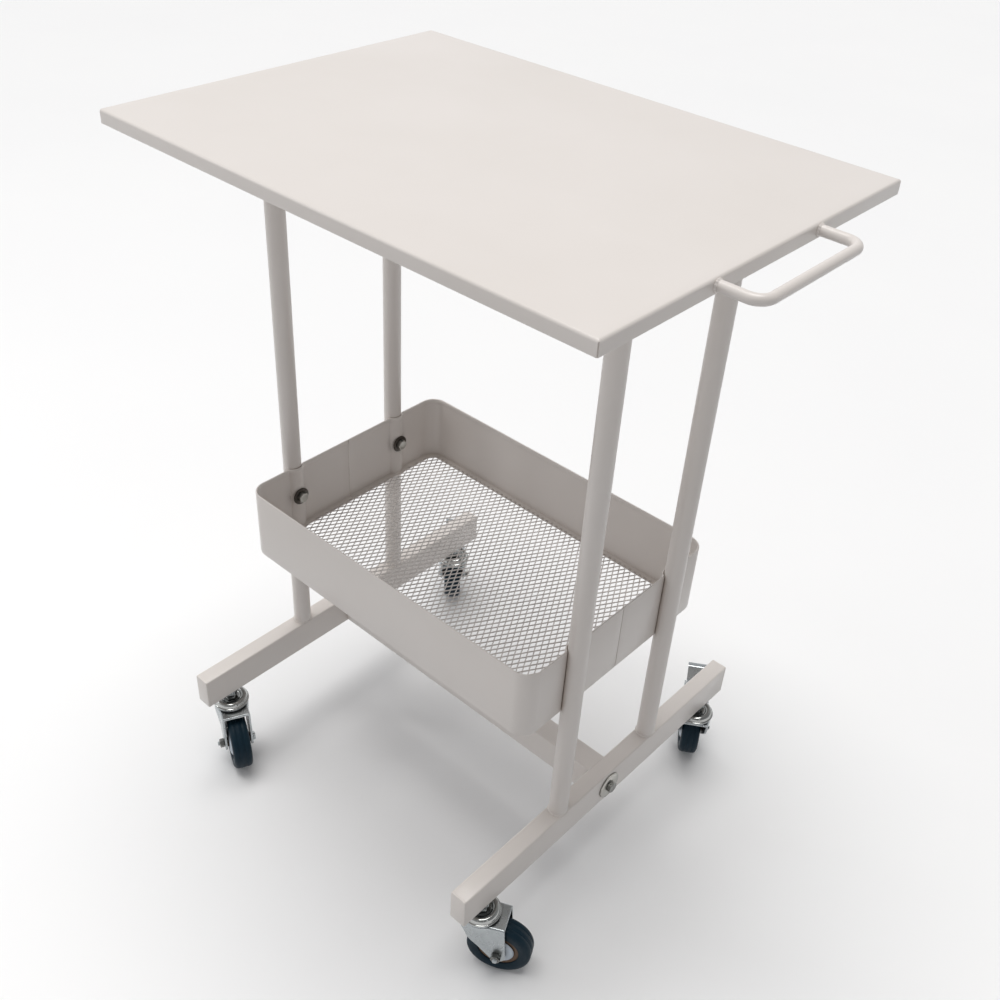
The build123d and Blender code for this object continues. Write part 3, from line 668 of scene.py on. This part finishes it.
def quarter_path():
    """Stations of the wall's outer face from the right-hand seam to the middle of the front.

    Each station is x, y and the outward normal. The path is drawn for the +X, -Y quarter.
    """
    mouth_x = BASKET_X - MOUTH  # centre of the small bends beside each post groove
    reach = sqrt((GROOVE + MOUTH) ** 2 - (POST_X - mouth_x) ** 2)
    lean = atan2(reach, POST_X - mouth_x)
    seam = 0.3
    path = [(BASKET_X - 0.45, -seam, 1, 0), (BASKET_X - 0.2, -seam - 0.35, 1, 0)]
    path.append((BASKET_X, -seam - 0.9, 1, 0))
    for i in range(1, 6):
        path.append((BASKET_X, -seam - (POST_Y - reach - seam) * i / 6, 1, 0))
    for i in range(9):
        a = -lean * i / 8
        path.append((mouth_x + MOUTH * cos(a), -POST_Y + reach + MOUTH * sin(a), cos(a), sin(a)))
    for i in range(1, 24):
        a = pi - lean + 2 * lean * i / 24
        n = (-cos(a), -sin(a))
        path.append((POST_X + GROOVE * cos(a), -POST_Y + GROOVE * sin(a), *n))
    for i in range(9):
        a = lean - lean * i / 8
        path.append((mouth_x + MOUTH * cos(a), -POST_Y - reach + MOUTH * sin(a), cos(a), sin(a)))
    start = -POST_Y - reach
    stop = -BASKET_Y + BASKET_CORNER
    for i in range(1, 4):
        path.append((BASKET_X, start + (stop - start) * i / 4, 1, 0))
    for i in range(17):
        a = -pi / 2 * i / 16
        centre = (BASKET_X - BASKET_CORNER, stop)
        path.append(
            (centre[0] + BASKET_CORNER * cos(a), centre[1] + BASKET_CORNER * sin(a), cos(a), sin(a))
        )
    for i in range(1, 9):
        path.append(((BASKET_X - BASKET_CORNER) * (1 - i / 8), -BASKET_Y, 0, -1))
    return path


def half_path(side):
    """Whole path of one half, from the right-hand seam to the left-hand one."""
    quarter = quarter_path()
    path = quarter + [(-x, y, -nx, ny) for x, y, nx, ny in reversed(quarter[:-1])]
    return [(x, -side * y, nx, -side * ny) for x, y, nx, ny in path]


def lip_point(x, y, nx, ny, depth):
    """Point of the bottom lip, kept clear of the grooves' curls."""
    if abs(x) > BASKET_X - BASKET_CORNER and abs(y) < BASKET_Y - BASKET_CORNER:
        gap = abs(abs(y) - POST_Y)
        swell = GROOVE + 6.2
        edge = BASKET_X - depth
        if gap < swell:
            edge = min(edge, POST_X - sqrt(swell**2 - gap**2) * (1 if depth > 4 else 0.98))
        return (edge if x > 0 else -edge), y
    return x - nx * depth, y - ny * depth


def basket_half(node, side):
    """Folded wall with a hemmed rim, a pressed bottom edge and a lip under the mesh."""
    bottom, top = BASKET_LOW.z, BASKET_HIGH.z
    rings = []
    for x, y, nx, ny in half_path(side):
        wave = 0.12 * noise.noise(Vector((x / 60, y / 60, side)))
        # depth behind the outer face and height: up the outside, over the hem, down inside
        wall = [(0.0, bottom + 2.2), (0.0, top - 0.9), (0.3, top - 0.3), (1.0, top)]
        wall += [(1.7, top - 0.25), (2.1, top - 0.9), (2.1, top - 5.2), (1.85, top - 5.9)]
        wall += [(WALL, top - 6.3), (WALL, bottom + 2.6)]
        ring = [(x - nx * d, y - ny * d, z + wave) for d, z in wall]
        inner = lip_point(x, y, nx, ny, LIP)
        root = (x - nx * 1.7, y - ny * 1.7)
        base = (x - nx * 1.5, y - ny * 1.5)
        ring.append((*root, bottom + 1.5))
        ring.append((*inner, bottom + WALL))
        ring.append((*inner, bottom))
        ring.append((*base, bottom))
        ring.append((x - nx * 0.35, y - ny * 0.35, bottom + 0.6))
        rings.append(ring)
    piece(node + "_folded", loft(rings), COAT, FRAME_BODY, "powder_coat", (node,), smooth=42)


def inside_basket(x, y, inset):
    """Whether a place on the basket floor is clear of the wall by the inset."""
    if abs(x) > BASKET_X - inset or abs(y) > BASKET_Y - inset:
        return False
    corner_x, corner_y = BASKET_X - BASKET_CORNER, BASKET_Y - BASKET_CORNER
    if abs(x) > corner_x and abs(y) > corner_y:
        return hypot(abs(x) - corner_x, abs(y) - corner_y) < BASKET_CORNER - inset
    return hypot(abs(x) - POST_X, abs(y) - POST_Y) > GROOVE + inset


def basket_mesh():
    """Expanded metal: slit-and-drawn diamonds whose strands lean out of the sheet."""
    low, high = box_mm("basket_mesh")
    pitch_x, pitch_y = 7.75, 13.2
    half_x, half_y = pitch_x / 2, pitch_y / 2
    level = low.z + 0.75
    lean = 0.34
    open_x, open_y = 0.76, 0.85
    outer = [(1, 0), (0.5, 0.5), (0, 1), (-0.5, 0.5), (-1, 0), (-0.5, -0.5), (0, -1), (0.5, -0.5)]
    inner = [(1, 0), (0.55, 0.48), (0, 1), (-0.55, 0.48), (-1, 0), (-0.55, -0.48), (0, -1)]
    inner.append((0.55, -0.48))
    points, faces = [], []
    columns = int(BASKET_X / half_x) + 1
    rows = int(BASKET_Y / half_y) + 1
    for i in range(-columns, columns + 1):
        for j in range(-rows, rows + 1):
            if (i + j) % 2:
                continue
            cx, cy = i * half_x, j * half_y
            rim = [(cx + half_x * u, cy + half_y * v) for u, v in outer]
            if not all(inside_basket(x, y, MESH_INSET) for x, y in rim):
                continue
            base = len(points)
            points += [Vector((x, y, level)) for x, y in rim]
            for u, v in inner:
                tilt = lean * (1 if v < 0 else -1) * min(1.0, abs(v) * 2)
                points.append(
                    Vector((cx + half_x * open_x * u, cy + half_y * open_y * v, level + tilt))
                )
            for k in range(8):
                m = (k + 1) % 8
                faces.append((base + k, base + m, base + 8 + m, base + 8 + k))
    sheet = piece(
        "expanded_metal_floor", (points, faces), COAT_MESH, FRAME_BODY, "powder_coat",
        ("basket_mesh",), smooth=60,
    )
    thick = sheet.modifiers.new("gauge", "SOLIDIFY")
    thick.thickness = 0.9 * MM
    thick.offset = 0.0
    soft = sheet.modifiers.new("soft", "BEVEL")
    soft.width = 0.16 * MM
    soft.segments = 1
    soft.angle_limit = radians(50)


def basket_fasteners():
    """Hexagon bolts and washers that hold the basket to the posts."""
    low, high = box_mm("basket_washers")
    z = (low.z + high.z) / 2
    radius = (high.z - low.z) / 2
    seat_x = high.x - 1.8
    bolts, washers = [], []
    for index, (sx, sy) in enumerate(((-1, -1), (-1, 1), (1, -1), (1, 1))):
        seat = facing((sx * seat_x, sy * POST_Y, z), (-sx, 0, 0))
        seat = seat @ Matrix.Rotation(radians(17 * index + 8), 4, "Z")
        bolts.append(moved(hexagon_head(BASKET_BOLT_FLATS, 0.05, 5.0), seat))
        bolts.append(moved(thread(M8_THREAD, -16.0, -0.1), seat))
        washers.append(moved(washer_disc(4.3, radius, -1.8, 0.0), seat))
    piece("basket_bolt_set", joined(bolts), STEEL, FRAME_BODY, "stainless", ("basket_bolts",))
    piece("basket_washer_set", joined(washers), DARK, FRAME_BODY, "stainless", ("basket_washers",))


# ------------------------------------------------------------------ casters
# A caster's own axes: the stem is the Z axis, the wheel trails along +X.
TRAIL, AXLE_Z, TYRE_R = 25.0, 37.5, 37.5
CROWN, CROWN_SHEET, FORK_HALF = 86.0, 2.5, 18.0
CROWN_REAR = 32.0
AXLE_BORE, PIN_BORE, STEM_BORE = 3.1, 2.1, 5.1
CHEEK_SWELL, CHEEK_WIDTH = 3.8, 11.0
AXLE = Matrix.Translation((TRAIL, 0, AXLE_Z)) @ Matrix.Rotation(-pi / 2, 4, "X")
PIVOT_X, PIVOT_Z = 22.0, 78.5
PIVOT = Matrix.Translation((PIVOT_X, 0, PIVOT_Z)) @ Matrix.Rotation(pi / 2, 4, "X")


def joint(name):
    """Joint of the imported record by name."""
    return next(j for j in frame["record"]["behaviour"]["joints"] if j["name"] == name)


def station(caster):
    """Matrix from a caster's own axes to its place, wheel trailing along local +X."""
    stem = Vector(joint(caster + "_swivel_turn")["pos_m"])
    axle = Vector(joint(caster + "_wheel_spin")["pos_m"])
    angle = atan2(axle.y - stem.y, axle.x - stem.x)
    place = Matrix.Translation((stem.x / MM, stem.y / MM, 0))
    return place @ Matrix.Rotation(angle, 4, "Z")


def stem_shell():
    """Stem with a hexagon collar, a threaded top and a riveted lower head."""
    head = lathe([(0, 78.6), (5.5, 78.6), (7.8, 79.4), (8.5, 80.8), (8.5, 83.2), (0, 83.2)], 48)
    shank = lathe([(0, 82.0), (5.0, 82.0), (5.0, 97.8), (0, 97.8)], 48)
    collar = hexagon_head(COLLAR_FLATS, 93.5, 98.0)
    return joined([head, shank, collar, thread(M10_THREAD, 97.6, 129.0)])


def race_shell():
    """Dish over the bearing, with a raised ring and a rolled outer rim."""
    profile = [(5.05, 91.5), (8.8, 91.5), (10.6, 92.2), (13.0, 94.4), (16.6, 94.6), (18.6, 93.6)]
    profile += [(19.4, 91.8), (19.5, 90.2), (20.6, 89.5), (22.6, 89.5), (23.0, 90.0), (22.8, 90.9)]
    profile += [(21.3, 91.3), (21.0, 93.0), (20.0, 95.6), (17.6, 96.9), (15.0, 96.8), (13.2, 95.4)]
    profile += [(12.2, 93.8), (10.4, 93.1), (5.05, 93.1)]
    inner = soften(profile[1:-1], 2, closed=False)
    return lathe([profile[0]] + inner + [profile[-1]], 96, closed=True)


def cheek_outline():
    """Side outline of the fork: crown, sloping front edge and round axle boss."""
    boss = 10.0
    knee = (-9.0, 60.0)

    def tangent(point, sign):
        dx, dz = point[0] - TRAIL, point[1] - AXLE_Z
        reach = hypot(dx, dz)
        return atan2(dz, dx) + sign * acos(boss / reach)

    start = tangent(knee, 1)
    end = tangent((CROWN_REAR, CROWN), -1)
    while end < start:
        end += TURN
    steps = 22
    round_end = []
    for i in range(steps + 1):
        a = start + (end - start) * i / steps
        round_end.append((TRAIL + boss * cos(a), AXLE_Z + boss * sin(a)))
    corner = 1.6
    front = arc((-20.0 + corner, CROWN - corner), corner, 90, 203, 5)
    rear = arc((CROWN_REAR - corner, CROWN - corner), corner, 6, 90, 5)
    bend = soften([(-14.3, 72.5), knee, (-3.8, 54.3)], 2, closed=False)
    return front + bend + round_end + rear


def fork_mesh(braked):
    """Pressed fork: folded crown and cheeks, with a bore for the stem and holes for the axle and,
    when braked, the pivot pin.
    """
    outer_top = arc((FORK_HALF - 2.6, CROWN - 2.6), 2.6, 0, 90, 6)
    outer = outer_top + [(-y, z) for y, z in reversed(outer_top)]
    outer += [(-FORK_HALF, 0.0), (FORK_HALF, 0.0)]
    body = combined(
        prism(cheek_outline(), -30.0, 30.0, "xz"), prism(outer, -60.0, 80.0, "yz"), "INTERSECT"
    )
    inside = FORK_HALF - CROWN_SHEET
    inner_top = arc((inside - 1.0, CROWN - CROWN_SHEET - 1.0), 1.0, 0, 90, 4)
    inner = inner_top + [(-y, z) for y, z in reversed(inner_top)]
    inner += [(-inside, -5.0), (inside, -5.0)]
    body = combined(body, prism(inner, -70.0, 90.0, "yz"), "DIFFERENCE")
    bore = lathe([(0, 70.0), (STEM_BORE, 70.0), (STEM_BORE, 95.0), (0, 95.0)], 40)
    body = combined(body, bore, "DIFFERENCE")

    def cross_hole(radius, steps, place):
        profile = [(0, -30.0), (radius, -30.0), (radius, 30.0), (0, 30.0)]
        return moved(lathe(profile, steps), place)

    holes = [cross_hole(AXLE_BORE, 32, AXLE)]
    if braked:
        holes.append(cross_hole(PIN_BORE, 24, PIVOT))
    return flared(combined(body, joined(holes), "DIFFERENCE"))


def flared(mesh):
    """Swell the cheeks outward beside the race, keeping their thickness."""
    work = bmesh.new()
    work.from_mesh(mesh)
    for normal, places in (((1, 0, 0), range(-18, 20, 3)), ((0, 0, 1), range(46, 84, 4))):
        for place in places:
            everything = work.verts[:] + work.edges[:] + work.faces[:]
            cut = Vector(normal) * place * MM
            bmesh.ops.bisect_plane(work, geom=everything, plane_co=cut, plane_no=normal)
    for vert in work.verts:
        x, y, z = vert.co / MM
        drop = max(0.0, min(1.0, (z - 48.0) / 28.0))
        near_side = max(0.0, min(1.0, (abs(y) - 9.0) / 6.0))
        swell = CHEEK_SWELL * exp(-((x / CHEEK_WIDTH) ** 2)) * drop * near_side
        vert.co.y += swell * MM * (1 if y > 0 else -1)
    work.to_mesh(mesh)
    work.free()
    return mesh


def lower_race_shell():
    """Raised bearing track on the fork's crown."""
    base = CROWN - 0.4
    profile = [(12.2, base), (13.4, base + 2.0), (15.4, base + 2.9), (19.2, base + 2.9)]
    profile += [(20.9, base + 2.2), (21.4, base + 1.0), (21.4, base + 0.3), (18.0, base)]
    return lathe(soften(profile, 2), 96, closed=True)


def axle_bolt_shell():
    """Hexagon bolt through the fork, its thread showing past the nut."""
    head = hexagon_head(M6_FLATS, FORK_HALF + 0.02, FORK_HALF + 4.0)
    inner, outer = -FORK_HALF, FORK_HALF + 0.4
    shank = lathe([(0, inner), (3.0, inner), (3.0, outer), (0, outer)])
    flip = Matrix.Rotation(pi, 4, "X")
    end = moved(thread(M6_THREAD, FORK_HALF - 0.6, FORK_HALF + 8.4), flip)
    return moved(joined([head, shank, end]), AXLE)


def axle_nut_shell():
    """Hexagon nut on the axle bolt."""
    nut = hexagon_nut(M6_FLATS, 3.0, -FORK_HALF - 6.0, -FORK_HALF)
    return moved(nut, AXLE @ Matrix.Rotation(radians(19), 4, "Z"))


def tyre_shell():
    """Solid tyre: round shoulders, a mould line round the tread and a stepped side wall."""
    side = [(23.6, 9.7), (23.6, 10.6), (24.3, 11.4), (26.4, 11.5), (27.0, 11.8), (31.2, 12.0)]
    side += [(33.8, 11.7), (35.8, 10.5), (36.9, 8.8), (37.25, 6.8), (37.3, 4.4), (37.05, 4.1)]
    side += [(37.3, 3.8), (37.32, 0.8), (37.5, 0.45), (37.5, 0.15)]
    profile = [(r, -y) for r, y in side] + [(r, y) for r, y in reversed(side)]
    return moved(lathe(profile, 120, closed=True), AXLE)


def core_shell():
    """Wheel centre: dished web between the tyre seat and the hub boss."""
    side = [(3.1, 15.2), (6.1, 15.2), (6.5, 14.8), (6.5, 9.8), (9.0, 9.2), (18.8, 9.2)]
    side += [(19.6, 9.6), (23.2, 9.8), (23.95, 9.6)]
    profile = [(r, y) for r, y in side] + [(r, -y) for r, y in reversed(side)]
    return moved(lathe(profile, 96, closed=True), AXLE)


def guard_shells():
    """Two domed discs over the hub."""
    profile = [(6.6, 12.4), (7.4, 13.2), (10.4, 13.3), (14.6, 12.7), (17.5, 11.6), (18.5, 10.4)]
    profile += [(17.8, 10.2), (16.6, 11.0), (13.8, 11.9), (9.8, 12.4)]
    disc = lathe(soften(profile, 1), 72, closed=True)
    flip = Matrix.Rotation(pi, 4, "X")
    return moved(joined([disc, moved(disc, flip)]), AXLE)


def pivot_pin_shell():
    """Pin with two domed heads."""
    ends = FORK_HALF
    side = [(0, ends + 1.2), (1.6, ends + 1.1), (2.9, ends + 0.7), (3.4, ends + 0.05), (2.0, ends)]
    profile = side + [(r, -y) for r, y in reversed(side)]
    return moved(lathe(profile, 36), PIVOT)


def strip(centreline, thickness, half_width):
    """Bent sheet strip from its centreline in the XZ plane."""
    upper, lower = [], []
    for i, (x, z) in enumerate(centreline):
        ahead = centreline[min(i + 1, len(centreline) - 1)]
        behind = centreline[max(i - 1, 0)]
        length = hypot(ahead[0] - behind[0], ahead[1] - behind[1])
        nx, nz = -(ahead[1] - behind[1]) / length, (ahead[0] - behind[0]) / length
        upper.append((x + nx * thickness / 2, z + nz * thickness / 2))
        lower.append((x - nx * thickness / 2, z - nz * thickness / 2))
    return prism(upper + lower[::-1], -half_width, half_width, "xz")


def pedal_shells():
    """Folded brake lever: web and tread, two arms, and a shoe curved to the tyre."""
    sheet, half, tread_half, arm = 1.5, 14.8, 12.4, 4.2
    shoe_gap = 0.4
    top = PIVOT_Z + arm
    mid = top - sheet / 2
    line = [(27.0, mid), (59.8, mid), (63.2, mid + 0.4), (75.0, mid + 13.4), (76.2, mid + 14.5)]
    line += [(77.6, mid + 14.9), (83.4, mid + 14.4), (84.0, mid + 13.6)]
    line = soften(line, 2, closed=False)
    web = [(27.0, mid), (40.0, mid), (56.0, mid)]
    travel = radians(10.0)  # the shoe is drawn round the axle as it stands when pressed
    dx, dz = TRAIL - PIVOT_X, AXLE_Z - PIVOT_Z
    centre = (
        PIVOT_X + dx * cos(travel) - dz * sin(travel),
        PIVOT_Z + dx * sin(travel) + dz * cos(travel),
    )
    shoe = arc(centre, TYRE_R + shoe_gap + sheet / 2, 45, 70, 12)
    outline = arc((PIVOT_X, PIVOT_Z), arm, 90, 262, 14) + [shoe[-1], shoe[0]]
    outline += arc((58.5, 80.5), 4.2, -38, 90, 10)
    plates = []
    for side in (-1, 1):
        edges = sorted((side * half, side * (half - sheet)))
        plates.append(prism(outline, edges[0], edges[1], "xz"))
    tread = strip(line, 0.96 * sheet, tread_half)  # a little thinner than the web it overlaps
    return joined([tread, strip(web, sheet, half), strip(shoe, sheet, half - 0.3)] + plates)


def caster(name):
    """All visible pieces of one caster."""
    place = station(name)
    swivel, wheel = name + "_swivel", name + "_wheel"
    braked = name.startswith("rear")

    def put(label, shell, material, body, slot, nodes, **extra):
        if isinstance(shell, bpy.types.Mesh):
            shell.transform(Matrix.Scale(MM, 4) @ place @ Matrix.Scale(1 / MM, 4))
        else:
            shell = moved(shell, place)
        nodes = tuple(name + "_" + node for node in nodes)
        piece(name + "_" + label, shell, material, body, slot, nodes, **extra)

    put("threaded_stem", stem_shell(), ZINC, FRAME_BODY, "zinc_plate", ("stem",))
    put("race_dish", race_shell(), RACE, FRAME_BODY, "zinc_plate", ("upper_race",), smooth=60)
    put("pressed_fork", fork_mesh(braked), ZINC, swivel, "zinc_plate", ("fork",), bevel=0.45)
    put("lower_race", lower_race_shell(), ZINC, swivel, "zinc_plate", (), smooth=60)
    put("axle_bolt_hex", axle_bolt_shell(), ZINC, swivel, "zinc_plate", ("axle_bolt",))
    put("axle_nut_hex", axle_nut_shell(), BOLT, swivel, "zinc_plate", ("axle_nut",))
    put("solid_tyre", tyre_shell(), RUBBER, wheel, "tyre_rubber", ("tyre",), smooth=60)
    put("moulded_core", core_shell(), CORE, wheel, "core_brown", ("wheel_core",))
    put("domed_guards", guard_shells(), GUARD, wheel, "guard_grey", ("hub_guards",), smooth=60)
    if braked:
        put("pivot_rivet", pivot_pin_shell(), ZINC, swivel, "zinc_plate", ("pedal_pivot_pin",))
        put(
            "brake_lever", pedal_shells(), ZINC, name + "_brake", "zinc_plate",
            ("brake_pedal",), bevel=0.3, smooth=30,
        )


def lock_nuts():
    """Nuts that lock the four stems under the feet."""
    low, high = box_mm("caster_lock_nuts")
    nuts = []
    for index, name in enumerate(CASTERS):
        stem = station(name).to_translation()
        turn = Matrix.Rotation(radians(90 + 7 * index), 4, "Z")
        place = Matrix.Translation((stem.x, stem.y, 0)) @ turn
        nuts.append(moved(hexagon_nut(M10_FLATS, 5.0, low.z, high.z - 0.05), place))
    piece("stem_lock_nuts", joined(nuts), ZINC, FRAME_BODY, "zinc_plate", ("caster_lock_nuts",))


# ------------------------------------------------------------------ stage
def camera():
    """Camera at the reference view: place in metres, angles in degrees."""
    yaw, pitch, roll = radians(40.3308), radians(-37.2611), radians(3.5971)
    ahead = Vector((-sin(yaw) * cos(pitch), cos(yaw) * cos(pitch), sin(pitch)))
    right = Vector((cos(yaw), sin(yaw), 0))
    up = right.cross(ahead)
    x_axis = right * cos(roll) + up * sin(roll)
    y_axis = -right * sin(roll) + up * cos(roll)
    turn = Matrix((x_axis, y_axis, -ahead)).transposed().to_4x4()
    data = bpy.data.cameras.new("camera")
    data.lens = 41.67
    data.sensor_width = 36.0
    data.shift_x = 0.0048
    data.shift_y = 0.0103
    view = bpy.data.objects.new("camera", data)
    view.matrix_world = Matrix.Translation((0.6980, -0.7855, 1.2110)) @ turn
    bpy.context.collection.objects.link(view)
    bpy.context.scene.camera = view


def softbox(name, place, target, width, height, power):
    """Rectangular studio light aimed at a point."""
    data = bpy.data.lights.new(name, "AREA")
    data.shape = "RECTANGLE"
    data.size, data.size_y = width, height
    data.energy = power
    lamp = bpy.data.objects.new(name, data)
    aim = (Vector(target) - Vector(place)).to_track_quat("-Z", "Y")
    lamp.matrix_world = Matrix.Translation(place) @ aim.to_matrix().to_4x4()
    bpy.context.collection.objects.link(lamp)


def overhead(direction, strength, spread):
    """Broad even light from nearly straight above."""
    data = bpy.data.lights.new("overhead", "SUN")
    data.energy = strength
    data.angle = radians(spread)
    data.color = (1.0, 0.992, 0.98)
    lamp = bpy.data.objects.new("overhead", data)
    lamp.rotation_euler = Vector(direction).to_track_quat("Z", "Y").to_euler()
    bpy.context.collection.objects.link(lamp)


def room_light():
    """Soft world light: brightest in a band above the horizon, weaker from the handle side."""
    world = bpy.data.worlds.new("studio")
    world.use_nodes = True
    tree = world.node_tree
    backdrop = tree.nodes["Background"]
    backdrop.inputs["Color"].default_value = (0.98, 0.985, 1.0, 1.0)
    place = tree.nodes.new("ShaderNodeTexCoord")
    axes = tree.nodes.new("ShaderNodeSeparateXYZ")
    tree.links.new(place.outputs["Generated"], axes.inputs["Vector"])

    def slope(value, start, end, low, high):
        node = tree.nodes.new("ShaderNodeMapRange")
        node.interpolation_type = "SMOOTHSTEP"
        for key, amount in zip(
            ("From Min", "From Max", "To Min", "To Max"), (start, end, low, high)
        ):
            node.inputs[key].default_value = amount
        tree.links.new(value, node.inputs["Value"])
        return node.outputs["Result"]

    def product(first, second):
        node = tree.nodes.new("ShaderNodeMath")
        node.operation = "MULTIPLY"
        tree.links.new(first, node.inputs[0])
        tree.links.new(second, node.inputs[1])
        return node.outputs["Value"]

    horizon = (-0.15, 0.1)
    above = slope(axes.outputs["Z"], *horizon, 0.0, 1.0)
    below = slope(axes.outputs["Z"], *horizon, 0.52, 0.0)
    fading = slope(axes.outputs["Z"], 0.35, 0.8, 0.64, 0.36)
    sideways = slope(axes.outputs["X"], -1.0, 1.0, 1.25, 0.5)
    sky = product(product(above, fading), sideways)
    total = tree.nodes.new("ShaderNodeMath")
    tree.links.new(sky, total.inputs[0])
    tree.links.new(below, total.inputs[1])
    tree.links.new(total.outputs["Value"], backdrop.inputs["Strength"])
    bpy.context.scene.world = world


def studio():
    """Pale floor, even world light, a broad light overhead and three narrow softboxes."""
    reach, below = 7000.0, -0.4
    corners = [(reach * sx, reach * sy, below) for sx, sy in ((-1, -1), (1, -1), (1, 1), (-1, 1))]
    mesh = mesh_from("floor", (corners, [(0, 1, 2, 3)]))
    mesh.materials.append(plain_floor("pale_floor"))
    floor = bpy.data.objects.new("floor", mesh)
    bpy.context.collection.objects.link(floor)
    floor.visible_diffuse = False
    room_light()
    overhead((-0.12, 0.06, 1.0), 2.04, 42.0)
    softbox("strip_left", (-1.5, -1.7, 1.3), (0, 0, 0.3), 0.25, 1.3, 1.8)
    softbox("strip_high", (-1.6, -0.9, 2.2), (0, -0.1, 0.8), 0.25, 1.3, 5.0)
    softbox("strip_right", (1.9, -0.6, 1.0), (0, 0, 0.2), 0.2, 0.9, 0.7)
    bpy.context.scene.view_settings.view_transform = "Standard"
    bpy.context.scene.view_settings.look = "None"


camera()
tabletop()
push_handle()
for number, post_node in enumerate(POSTS):
    post(post_node, number)
for leg_node in ("leg_left", "leg_right"):
    leg(leg_node)
crossbar()
crossbar_fasteners()
basket_half("basket_front_half", -1)
basket_half("basket_rear_half", 1)
basket_mesh()
basket_fasteners()
for caster_name in CASTERS:
    caster(caster_name)
lock_nuts()
for kept, kept_material in (
    ("top_stiffener_left", COAT),
    ("top_stiffener_right", COAT),
    ("crossbar_end_plates", COAT),
    ("basket_rivet_nuts", ZINC),
    ("leg_weld_nuts", ZINC),
):
    slots = frame["nodes"][kept].data.materials
    slots.clear()
    slots.append(kept_material)
studio()
